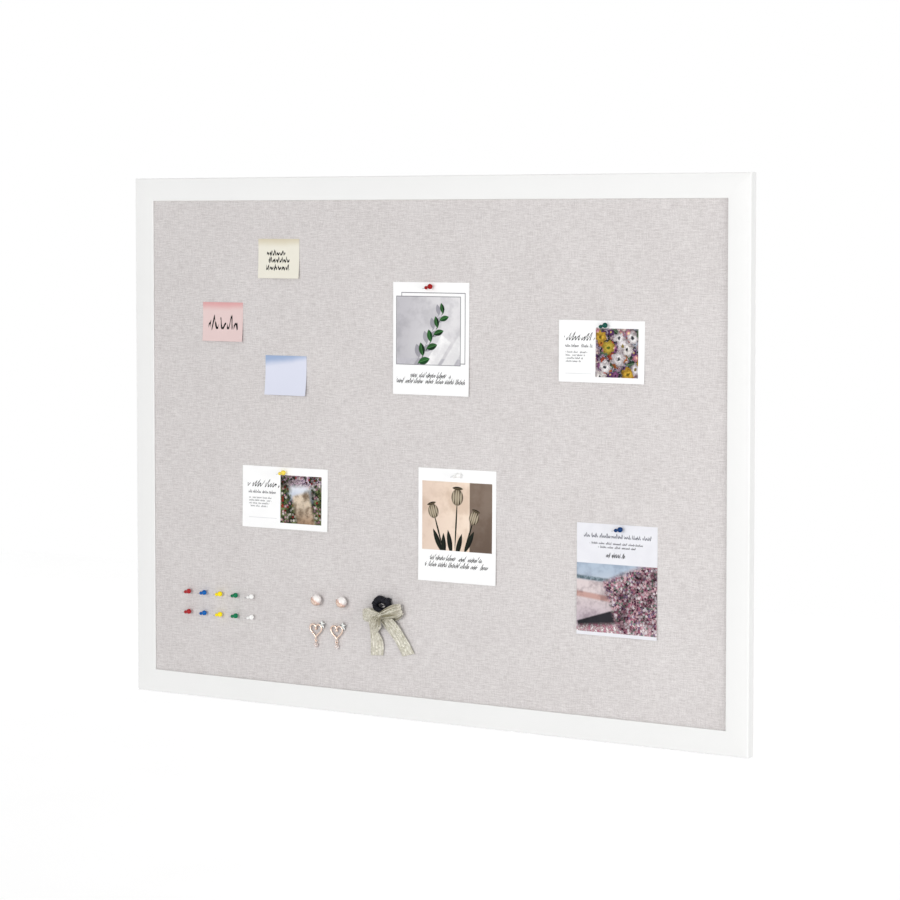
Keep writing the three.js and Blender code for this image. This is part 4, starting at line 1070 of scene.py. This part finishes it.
# Lifts of the lower left and right corners, the colours of the strip's painted shade and of the body, lean
# of the strip's painted shade, pen marks.
# Pen marks are lines with a start, end, level, height and weight, the waves in a word and their pitch.
NOTES = {
    "yellow": ((2.0, 3.0), "d6cdb6", "e9e5d8", 0.02, (
        [(-25, 14, 7.0, 5.6, 2.9), (-22, 23, -5.0, 5.6, 2.9), (-26, 23, -18.0, 5.6, 2.9)], 1.5, 0.95)),
    "pink": ((2.5, 3.5), "dba5a5", "e2cac8", 0.02, ([(-31, 33, -11.0, 19.0, 3.5)], 1.3, 0.6)),
    "blue": ((4.0, 5.0), "9db0d0", "dbdeed", 0.14, None),
}


def curled_sheet(node, level, thickness, lifts, strip, rows):
    """A sheet in place of a CAD node, flat along a strip at its top and curled off the linen below that."""
    low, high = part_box(node)

    def place(across, up):
        free = max(0.0, 1 - up - strip) / (1 - strip)
        lift = between(*lifts, across) * free ** 2 * MM
        return Vector((between(low.x, high.x, across), level - lift, between(low.z, high.z, up)))

    return with_back(shaped_grid(CURL_COLUMNS, rows, place), thickness)


def hung_card(card, lifts, colours, draw, plain):
    """A card that hangs flat from its pin and stands off a little along its lower edge."""
    node = card + "_card"
    low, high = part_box(node)
    paper = printed_card("Printed card " + card, (low + high) / 2, colours, draw)
    sheet = curled_sheet(node, low.y, CARD_THICKNESS, lifts, strip=0.0, rows=20)
    piece("printed_" + node, sheet, [paper, plain], card, [node])


def sticky_note(tint, lifts, strip, body, lean, pen):
    """A note that is flat along its glued strip and curls away from the linen below it."""
    node = "note_" + tint
    low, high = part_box(node)
    middle = (low + high) / 2
    paper = note_paper("Note paper " + tint, middle, strip, body, lean, pen)
    back = note_paper("Note back " + tint, middle, strip, body, lean)
    sheet = curled_sheet(node, high.y - NOTE_THICKNESS, NOTE_THICKNESS, lifts, strip=NOTE_STRIP, rows=24)
    piece("paper_" + node, sheet, [paper, back], tint + "_note", [node])


# Earrings

PEARL_RADIUS = 9.2
PEARL_SIDES = 48
# The side of each pearl that its painted shade leaves palest
PEARL_PAINTED_LIGHT_SIDE = Vector((0.3, -0.75, 0.6)).normalized()
CUP_WALL = 0.5
CUP_CLEARANCE = 0.1
CUP_DIRECTION = Vector((-0.62, -0.2, -0.76)).normalized()
# Where the cup's inside and outside end, in degrees up from the pearl's middle
CUP_EDGES = (16, 14)
# The rolled rim's middle, as radius and height, and how thick it is
CUP_RIM = (PEARL_RADIUS + 0.15, 2.3)
CUP_RIM_RADIUS = 0.45
SEAT_GAP = 0.3
POST_RADIUS = 0.5
POST_BITE = 9
POST_SIDES = 12
# Half outline of the post's tip, as radius and distance from its end
POST_TIP = ((0, 0), (0.3, 0.15), (POST_RADIUS, 0.6))
STUD_MIDDLE_OUT = SEAT_GAP + CUP_WALL + PEARL_RADIUS


def post(foot, reach):
    """An earring's post, from its rounded tip in the board to a distance in front of its foot."""
    tip = [(radius, far - POST_BITE) for radius, far in POST_TIP]
    return turned(tip + [(POST_RADIUS, reach), (0, reach)], POST_SIDES, standing(foot, OUT))


def cup_outline():
    """Half outline of a thin cup with a rolled rim, from its bottom's inside to its bottom's outside."""
    hollow, outer = PEARL_RADIUS + CUP_CLEARANCE, PEARL_RADIUS + CUP_WALL
    inside = arc((0, 0), hollow, hollow, 90, CUP_EDGES[0], 14)[1:]
    rim = arc(CUP_RIM, CUP_RIM_RADIUS, CUP_RIM_RADIUS, -180, 0, 6)
    outside = arc((0, 0), outer, outer, CUP_EDGES[1], 90, 14)[:-1]
    return [(0, hollow)] + inside + rim + outside + [(0, outer)]


def pearl_stud(side, gold):
    """A pearl in its cup, on a post."""
    node, body = "pearl_stud_" + side, "stud_" + side
    foot = box_middle(node, LINEN_FRONT)
    middle = foot + OUT * STUD_MIDDLE_OUT * MM
    nacre = pearl_nacre("Pearl " + side, middle)
    pearl = ball(middle, PEARL_RADIUS, steps=24, sides=PEARL_SIDES)
    piece("pearl_" + side, pearl, [nacre], body, [node])
    cup = turned(cup_outline(), PEARL_SIDES, standing(middle, CUP_DIRECTION))
    piece("pearl_cup_" + side, joined(cup, post(foot, STUD_MIDDLE_OUT)), [gold], body)


HEART_WIDTH = 24
HEART_HEIGHT = 23
# Weights of the cosines that make up the heart's rise, and the height that they span before scaling
HEART_CURVE = (13, -5, -2, -1)
HEART_CURVE_RISE = 29
HEART_WIRE = 1.5
BEAD_RADIUS = 2.3
STAR_RADIUS = 7.6
STAR_INNER_RADIUS = 4.3
STAR_THICKNESS = 3.4
STAR_RIM = 1.2
STAR_PLACE = Vector((12.8, 0, 9.5))
EYE_RADIUS = 2.2
EYE_WIRE = 0.6
STONE_SIDES = 8
STONE_OUTLINE = ((0, -4.4), (2.0, -3.6), (4.0, -1.1), (4.4, 0.2), (3.3, 2.4), (1.7, 3.2), (0, 3.6))
STONE_TOP = STONE_OUTLINE[-1][1]


def heart_point(share):
    """Millimetres on the heart's curve, from its cleft at 0 to its tip at a half."""
    turn = -2 * math.pi * share
    rise = sum(term * math.cos((i + 1) * turn) for i, term in enumerate(HEART_CURVE))
    return Vector((math.sin(turn) ** 3 * HEART_WIDTH / 2, 0, rise * HEART_HEIGHT / HEART_CURVE_RISE))


def faceted_star(middle):
    """A five-pointed star with a ridge along each point, with painted light on one side of each ridge and
    painted shade on the other side and on its rim.
    """
    bm = bmesh.new()
    bmesh.ops.create_circle(bm, cap_ends=True, segments=10, radius=STAR_RADIUS * MM)
    for vert in bm.verts:
        turn = math.atan2(vert.co.y, vert.co.x) - math.pi / 2
        if round(turn * 5 / math.pi) % 2:
            vert.co *= STAR_INNER_RADIUS / STAR_RADIUS
    extrude(bm, UP * STAR_RIM * MM)
    bmesh.ops.translate(bm, vec=-UP * STAR_RIM / 2 * MM, verts=bm.verts)
    caps = [face for face in bm.faces if len(face.verts) == 10]
    for crown in bmesh.ops.poke(bm, faces=caps)["verts"]:
        crown.co.z = math.copysign(STAR_THICKNESS / 2 * MM, crown.co.z)
    bmesh.ops.recalc_face_normals(bm, faces=bm.faces)
    # Painted light and shade: the rim and every other facet take the shaded copy of the silver.
    for face in bm.faces:
        spot = face.calc_center_median()
        tenth = math.floor((math.atan2(spot.y, spot.x) - math.pi / 2) * 5 / math.pi)
        face.material_index = 1 if len(face.verts) == 4 or tenth % 2 else 0
    turn = Matrix.Rotation(math.pi / 2, 4, "X")
    bmesh.ops.transform(bm, matrix=Matrix.Translation(middle) @ turn, verts=bm.verts)
    return bm


def eye(middle, across, normal):
    """A small wire eye about a middle point."""
    def path(share):
        turn = 2 * math.pi * share
        return middle + (across * math.cos(turn) + UP * math.sin(turn)) * EYE_RADIUS * MM
    return even_wire(path, normal, EYE_WIRE, steps=24, sides=10)


def heart_earring(side, gold, lit_and_shaded_silvers, stone):
    """A wire heart with a bead, a star, an eye and a post, and the drop that hangs from it."""
    node, body = "heart_earring_" + side, "heart_" + side
    pivot = Vector(JOINTS[f"drop_{side}_swing"]["pos_m"])
    eye_z = heart_point(0.5).z - HEART_WIRE - EYE_RADIUS
    pivot_z = eye_z + 2 * EYE_WIRE + SEAT_GAP - EYE_RADIUS
    middle = pivot - UP * pivot_z * MM
    wire = even_wire(lambda share: middle + heart_point(share) * MM, OUT, HEART_WIRE, steps=96, sides=12)
    bead_spot = middle + UP * (heart_point(0).z - BEAD_RADIUS) * MM
    bead = ball(bead_spot, BEAD_RADIUS, steps=10, sides=20)
    foot = Vector((bead_spot.x, LINEN_FRONT, bead_spot.z))
    pole = post(foot, (LINEN_FRONT - middle.y) / MM)
    heart = joined(wire, bead, pole, eye(middle + UP * eye_z * MM, RIGHT, OUT))
    piece("wire_heart_" + side, heart, [gold], body, [node])
    star = faceted_star(middle + STAR_PLACE * MM)
    piece("heart_star_" + side, star, lit_and_shaded_silvers, body, sharp=10.0)

    drop = "drop_" + side
    loop = eye(pivot - UP * EYE_RADIUS * MM, -OUT, RIGHT)
    piece("drop_eye_" + side, loop, [gold], drop, ["heart_drop_" + side])
    stone_spot = pivot - UP * (2 * EYE_RADIUS + STONE_TOP) * MM
    cut = turned(STONE_OUTLINE, STONE_SIDES, standing(stone_spot, UP))
    piece("drop_stone_" + side, cut, [stone], drop, sharp=5.0)


# Hair tie and bow

TIE_BODY = "hair_tie_and_bow"
# Length and width of the cloth that the UV maps of the tie and of each ribbon stand for
TIE_CLOTH = (70.0, 38.0)
RIBBON_CLOTH = (80.0, 27.0)
TIE_HALF_WIDTH = 12.6
TIE_HALF_HEIGHT = 9.0
TIE_TUBE = 5.8
TIE_PUFFS = 11
TIE_CREASES = 31
BOW_BELOW_TIE = 17.5
BOW_OUT = 9.0
RIBBON_GATHER = 9.0
RIBBON_THICKNESS = 0.3
RIBBON_PLEATS = 4
# Depth of the pleats where the ribbon is gathered and where it is open
PLEAT_DEPTHS = (1.8, 0.9)
LOOP_DEPTH = 10.0
# The share of a loop's reach from which it narrows to its fold, and of a tail's length over which it opens
LOOP_NARROWS = 0.7
TAIL_OPENS = 0.35
KNOT = Vector((11.0, 13.0, 13.0))
KNOT_PLEATS = 3
# Side, length, tilt, greatest width, width at the far fold and sag of the layer behind of each loop
BOW_LOOPS = {
    "left": (-1, 37.5, math.radians(-2), 23.5, 17.5, 0.0),
    "right": (1, 43.0, math.radians(18), 23.0, 19.5, 5.5),
}
# Points of each tail from the knot to its end, as right, out, up and width, and the slant of the cut end
BOW_TAILS = {
    "left": ((
        (0, 3, 2, 9), (-4, 7.5, -6, 19), (-8, 6, -14, 24.5), (-13.5, 1, -22, 18), (-16, -3, -30, 16.5),
        (-14.4, -5, -39, 22), (-12.7, -6, -49, 26), (-12.8, -6.3, -59.5, 26), (-13.2, -6.5, -70, 25),
    ), -1.5),
    "right": ((
        (1, 1, 0, 9), (5.5, 0, -4.5, 20), (13.5, -2.5, -12.5, 25), (23, -4.5, -23, 24.5),
        (32.2, -5.5, -35, 23), (41.2, -6.3, -48.5, 23.5), (50.7, -6.5, -64.5, 24.5),
    ), 3.5),
}
# Where the tie's outside and inside swell or are drawn in: degrees round it, millimetres, degrees wide
TIE_LOBES = (
    (40, 2.4, 19), (70, -2.6, 11), (106, 1.2, 24), (150, -0.5, 14), (185, 1.0, 26), (240, -0.6, 20),
)
TIE_HOLLOWS = ((200, -1.6, 40), (275, -1.8, 45), (340, -1.6, 30))
NAIL_SIDES = 24
# Half outlines of the nail's point, upwards, and of its head, as radius and depth below its top
NAIL_POINT = [(0, 0), (0.5, 1.0), (1.0, 2.2)]
NAIL_HEAD = [(1.0, 1.2), (2.35, 1.15), (2.6, 0.9), (2.55, 0.4), (2.1, 0.08), (1.2, 0), (0, 0)]


def gathered_tie(middle, cloth):
    """A tube of cloth gathered on elastic, with puffs and fine creases."""
    def path(share):
        turn = 2 * math.pi * share
        return middle + Vector((TIE_HALF_WIDTH * math.cos(turn), 0, TIE_HALF_HEIGHT * math.sin(turn))) * MM

    def swelling(along, places):
        """Sum of soft humps round the ring."""
        apart = [((360 * along - at + 180) % 360 - 180) / wide for at, _, wide in places]
        return sum(height * math.exp(-far ** 2) for far, (_, height, _) in zip(apart, places))

    def radius(along, around):
        turn, roll = 2 * math.pi * along, 2 * math.pi * around
        outer = 0.5 + 0.5 * math.cos(roll)
        drawn = swelling(along, TIE_LOBES) * outer + swelling(along, TIE_HOLLOWS) * (1 - outer)
        puff = 0.5 * math.sin(TIE_PUFFS * turn + 0.9 * math.sin(2 * turn))
        crease = 0.35 * math.sin(TIE_CREASES * turn + 1.4 * math.sin(roll) + 2 * math.sin(3 * turn))
        lump = noise.noise(Vector((math.cos(turn), math.sin(turn), 0.7 * math.cos(roll))) * 2.2)
        return (TIE_TUBE + drawn + puff + crease + 0.9 * lump) * MM

    bm = wire_loop(path, OUT, radius, steps=216, sides=40)
    tie = piece("gathered_hair_tie", bm, [cloth], TIE_BODY, ["hair_tie"], sharp=80.0)


def ribbon_strip(path, across, half_width, open_share, slant=0.0):
    """A strip along path(share) whose pleats are deep where it is gathered and fade as it opens."""
    def place(along, over):
        ahead = (path(along + 0.01) - path(along - 0.01)).normalized()
        wide = (across - ahead * across.dot(ahead)).normalized()
        face = ahead.cross(wide)
        side = 2 * over - 1
        depth = between(*PLEAT_DEPTHS, open_share(along))
        pleat = depth * math.cos(2 * math.pi * RIBBON_PLEATS * over + 2.2 * along)
        cut = slant * side * along ** 3
        return path(along) + (wide * side * half_width(along) + face * pleat + ahead * cut) * MM

    return shaped_grid(columns=72, rows=48, place=place)


def ribbon_piece(name, bm, path, ribbon):
    """One strip of the bow, given the ribbon's thickness. Laid flat it is a band of the ribbon's width and
    of its path's length, which is measured here but not used.
    """
    made = piece(name, bm, [ribbon], TIE_BODY, sharp=80.0)
    thicken(made, RIBBON_THICKNESS * MM, offset=0.0)
    steps = 60
    points = [path(i / steps) for i in range(steps + 1)]
    length = sum((b - a).length for a, b in zip(points, points[1:]))


def bow_loop(side, knot, ribbon):
    """Ribbon that leaves the knot, turns over and comes back in front of itself."""
    sign, length, tilt, widest, folded, sag = BOW_LOOPS[side]
    along = Vector((sign * math.cos(tilt), 0, math.sin(tilt)))
    across = Vector((-sign * math.sin(tilt), 0, math.cos(tilt)))

    def reach(share):
        return max(0.0, math.cos(math.pi * (share - 0.5))) ** 0.8

    def path(share):
        depth = LOOP_DEPTH / 2 * math.sin(math.pi * (share - 0.5))
        droop = sag * math.sin(math.pi * reach(share)) ** 2 if share < 0.5 else 0.0
        return knot + (along * length * reach(share) - across * droop + OUT * depth) * MM

    def opened(share):
        return math.sin(math.pi / 2 * min(1.0, 1.2 * reach(share)))

    def half_width(share):
        full = between(RIBBON_GATHER, widest, opened(share))
        return between(full, folded, smooth_step((reach(share) - LOOP_NARROWS) / (1 - LOOP_NARROWS))) / 2

    bm = ribbon_strip(path, across, half_width, opened)
    ribbon_piece(f"bow_{side}_loop", bm, path, ribbon)


def bow_tail(side, knot, ribbon):
    """Ribbon that falls from the knot to lie against the linen."""
    stations, slant = BOW_TAILS[side]
    stations = [Vector(station) for station in stations]

    def path(share):
        right, out, up, _ = flowing(stations, share)
        return knot + (RIGHT * right + OUT * out + UP * up) * MM

    def opened(share):
        return smooth_step(share / TAIL_OPENS)

    bm = ribbon_strip(path, RIGHT, lambda share: flowing(stations, share)[3] / 2, opened, slant)
    ribbon_piece(f"bow_{side}_tail", bm, path, ribbon)


def bow_knot(knot, ribbon):
    """The short band that holds the bow together, drawn in at its edges and pleated along its turn."""
    def place(around, over):
        turn = 2 * math.pi * around
        side = 2 * over - 1
        swell = math.sqrt(1 - 0.75 * side * side) + 0.05 * math.cos(2 * math.pi * KNOT_PLEATS * over)
        reach = Vector((0, KNOT.y / 2 * math.cos(turn), KNOT.z / 2 * math.sin(turn))) * swell
        return knot + (reach + RIGHT * KNOT.x / 2 * side) * MM

    bm = close_up(shaped_grid(columns=48, rows=24, place=place))
    made = piece("bow_knot", bm, [ribbon], TIE_BODY, ["hair_bow"], sharp=80.0)


def hair_tie_and_bow():
    low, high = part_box("hair_tie")
    middle = (low + high) / 2
    knot = Vector((middle.x, LINEN_FRONT - (BOW_OUT + SEAT_GAP) * MM, middle.z - BOW_BELOW_TIE * MM))
    gathered_tie(middle, gathered_black_cloth("Gathered black cloth"))
    # The ribbon's three materials differ in their painted crease shade: deep in the tails, faint in the
    # left loop, deepest in the right loop.
    hanging = shimmer_ribbon("Shimmer ribbon in tails", False, 0.8)
    looped = {
        "left": shimmer_ribbon("Shimmer ribbon in left loop", True, 0.1),
        "right": shimmer_ribbon("Shimmer ribbon in right loop", True, 1.0),
    }
    bow_knot(knot, looped["right"])
    for side, ribbon in looped.items():
        bow_loop(side, knot, ribbon)
        bow_tail(side, knot, hanging)


def tie_nail(black_steel):
    """The nail that the tie hangs on, as long as its CAD node."""
    low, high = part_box("tie_nail")
    length = (high.y - low.y) / MM
    outline = NAIL_POINT + [(radius, length - depth) for radius, depth in NAIL_HEAD]
    nail = turned(outline, NAIL_SIDES, standing(box_middle("tie_nail", high.y), OUT))
    piece("turned_tie_nail", nail, [black_steel], "board", ["tie_nail"])


# Hangers on the back

RING_WIRE = 1.3
RING_HALF = 8.1
RING_HEIGHT = 17.0
RING_BEND = 2.0
RING_LEAN = math.radians(3)
STRAP_EASE = 0.15
SCREW_SIDES = 48
SCREW_LENGTH = 9.0
SCREW_POINT = 1.6
SCREW_PITCH = 1.0
SCREW_TURNS = 7
SCREW_ROOT = 1.1
SCREW_CREST = 1.5
# Half outline of the screw's head, as radius and height above its seat
SCREW_HEAD = [
    (1.3, 0), (3.2, 0), (3.4, 0.25), (3.3, 0.8), (2.7, 1.4),
    (2.0, 1.65), (1.6, 1.74), (1.0, 1.78), (0.5, 1.8), (0, 1.8),
]
# Half the width of an arm of the cross in the head, the height from which it is sunk, and its depth
CROSS_HALF = 0.3
CROSS_FROM = 1.7
CROSS_DEPTH = 0.9


def hanger_ring(side, steel):
    """A loose D-shaped ring: a straight bar through the strap's loop and a round top."""
    node, body = "hanger_ring_" + side, "ring_" + side
    pivot = Vector(JOINTS[f"ring_{side}_fold"]["pos_m"])
    lean = Matrix.Rotation(RING_LEAN, 3, "X")
    shoulder = RING_HEIGHT - RING_HALF
    inner = RING_HALF - RING_BEND

    def bend(x, z, radius, start):
        """The point a given way along a round stretch about x, z."""
        def point(far):
            turn = start + far / radius
            return Vector((x + radius * math.cos(turn), 0, z + radius * math.sin(turn)))
        return point

    corner, straight = math.pi / 2 * RING_BEND, shoulder - RING_BEND
    stretches = (
        (2 * inner, lambda far: Vector((far - inner, 0, 0))),
        (corner, bend(inner, RING_BEND, RING_BEND, -math.pi / 2)),
        (straight, lambda far: Vector((RING_HALF, 0, RING_BEND + far))),
        (math.pi * RING_HALF, bend(0, shoulder, RING_HALF, 0)),
        (straight, lambda far: Vector((-RING_HALF, 0, shoulder - far))),
        (corner, bend(-inner, RING_BEND, RING_BEND, math.pi)),
    )

    def flat(share):
        far = (share % 1.0) * sum(length for length, _ in stretches)
        for length, point in stretches:
            if far < length:
                break
            far -= length
        return point(far)

    def path(share):
        return pivot + lean @ flat(share) * MM

    bm = even_wire(path, lean @ OUT, RING_WIRE, steps=120, sides=14)
    piece("round_" + node, bm, [steel], body, [node])


def hanger_screw(side, steel):
    """A pan head screw with ridges for its thread and a cross recess."""
    node = "hanger_screw_" + side
    outline = [(0, 0)]
    for i in range(SCREW_TURNS):
        start = SCREW_POINT + i * SCREW_PITCH
        outline += [(SCREW_ROOT, start), (SCREW_CREST, start + SCREW_PITCH / 2)]
    outline += [(radius, SCREW_LENGTH + height) for radius, height in SCREW_HEAD]
    upright = standing(box_middle(node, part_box(node)[0].y), -OUT)
    bm = turned(outline, SCREW_SIDES, upright)
    for vert in bm.verts:
        x, y, height = upright.inverted() @ vert.co / MM
        if height > SCREW_LENGTH + CROSS_FROM and min(abs(x), abs(y)) < CROSS_HALF:
            vert.co += OUT * CROSS_DEPTH * MM
    piece("turned_" + node, bm, [steel], "board", [node], sharp=35.0)


def hanger_strap(side, steel):
    """The CAD strap with its sharp edges eased."""
    node = "hanger_strap_" + side
    bm = merged_copy(node)
    ease_edges(bm, STRAP_EASE * MM, segments=2)
    piece("eased_" + node, bm, [steel], "board", [node], sharp=35.0)


# Studio: camera, light and floor, in metres

CAMERA_PLACE = Vector((2.59599, -3.96237, 0.37917))
CAMERA_YAW = math.radians(32.780)
CAMERA_PITCH = math.radians(2.976)
# Focal length and sensor width, and the row of the square picture that the camera's axis meets
CAMERA_LENS = 113.45
CAMERA_SENSOR = 36.0
PICTURE_SIZE = 900
AXIS_ROW = 370
AMBIENT = 0.5
# Place, size and power of the soft lamps, which all face the board
LAMPS = {
    "Key": ((-0.8, -7.8, 1.2), 2.5, 212),
    "Fill": ((4.0, -1.2, 0.4), 2.0, 58),
    "Back": ((-1.0, 3.5, 4.5), 2.5, 110),
}
FLOOR_LEVEL = -1.45
FLOOR_SIZE = 16.0
# Millimetres from the board over which the floor pales into the white room, and its glow at both
FLOOR_FADE = (1500, 9500)
FLOOR_GLOW = (0.22, 0.5)


def camera():
    lens = bpy.data.cameras.new("Camera")
    lens.sensor_width = CAMERA_SENSOR
    lens.lens = CAMERA_LENS
    lens.shift_y = AXIS_ROW / PICTURE_SIZE - 0.5
    made = put("Camera", lens)
    made.location = CAMERA_PLACE
    made.rotation_euler = (math.pi / 2 - CAMERA_PITCH, 0, CAMERA_YAW)
    bpy.context.scene.camera = made


def soft_lamp(name, place, size, power):
    lamp = bpy.data.lights.new(name, "AREA")
    lamp.size = size
    lamp.energy = power
    made = put(name, lamp)
    made.location = place
    made.rotation_euler = (-Vector(place)).to_track_quat("-Z", "Y").to_euler()


def seen_directly(n):
    """1 for what the camera, a mirror or glass sees, and 0 for what lights the object."""
    rays = n.add("LightPath", {}).node.outputs
    seen = n.calc("MAXIMUM", rays["Is Camera Ray"], rays["Is Glossy Ray"])
    return n.calc("MAXIMUM", seen, rays["Is Transmission Ray"])


def white_room():
    """White all round, with a lower level for the light that it gives."""
    world = bpy.data.worlds.new("White room")
    world.use_nodes = True
    n = Nodes(world.node_tree)
    back = world.node_tree.nodes["Background"]
    n.feed(back.inputs["Color"], "ffffff")
    n.feed(back.inputs["Strength"], n.times_plus(seen_directly(n), 1 - AMBIENT, AMBIENT))
    bpy.context.scene.world = world


@finish({"Roughness": 0.9, "Specular IOR Level": 0.1, "Emission Color": (1, 1, 1, 1)})
def floor_paint(n):
    """Pale, with a glow that carries it into the white room further off."""
    place = n.solid_place()
    apart = n.add("VectorMath", {0: place}, out="Value", operation="LENGTH")
    return {
        "Base Color": n.mix(n.noise(place, 0.002), "f4f4f4", "f9f9f9"),
        "Emission Strength": n.times(seen_directly(n), n.span(apart, *FLOOR_FADE, *FLOOR_GLOW)),
    }


def pale_floor():
    bm = bmesh.new()
    bmesh.ops.create_grid(bm, x_segments=1, y_segments=1, size=FLOOR_SIZE / 2)
    bmesh.ops.translate(bm, vec=UP * FLOOR_LEVEL, verts=bm.verts)
    put_mesh("pale_floor", bm, [floor_paint("Pale floor")])


def studio():
    camera()
    white_room()
    for name, facts in LAMPS.items():
        soft_lamp(name, *facts)
    pale_floor()
    bpy.context.scene.view_settings.view_transform = "Standard"


# Assembly

def assemble():
    make_shared_effects()
    steel = metal("Zinc plated steel", "a3a6aa", "c2c4c8", 0.42, 0.26)
    bright_steel = metal("Bright needle", "b4b6ba", "d2d3d6", 0.28, 0.16)
    black_steel = metal("Black steel", "1b1b1d", "2c2c30", 0.5, 0.34)
    gold = metal("Rose gold", "d9b7a2", "eadcd1", 0.28, 0.14)
    # A lit and a shaded copy of one silver, which paint light and shade on the star's facets.
    silver_with_painted_light = metal("Polished silver", "e6e6e4", "fafaf8", 0.2, 0.08)
    lit_and_shaded_silvers = [silver_with_painted_light, metal("Dull silver", "5a5c5a", "848683", 0.4, 0.25)]
    wood = bare_wood("Bare wood")
    dress({name: wood for name in frame["nodes"] if name.startswith("mitre_tongue")})
    dress({name: steel for name in frame["nodes"] if name.startswith("panel_point")})
    dress({"cork_sheet": cork_grain("Pressed cork"), "backing_board": hardboard("Hardboard")})
    white_rails(satin_white_paint("Satin white paint"))
    stretched_linen(woven_linen("Woven linen"))
    push_pins(bright_steel)
    plain = plain_card_stock("Plain card stock")
    for card, facts in CARDS.items():
        hung_card(card, *facts, plain)
    for tint, facts in NOTES.items():
        sticky_note(tint, *facts)
    stone = cut_stone("Cut stone")
    for side in ("left", "right"):
        pearl_stud(side, gold)
        heart_earring(side, gold, lit_and_shaded_silvers, stone)
        hanger_strap(side, steel)
        hanger_ring(side, steel)
        hanger_screw(side, steel)
    hair_tie_and_bow()
    tie_nail(black_steel)


studio()
assemble()
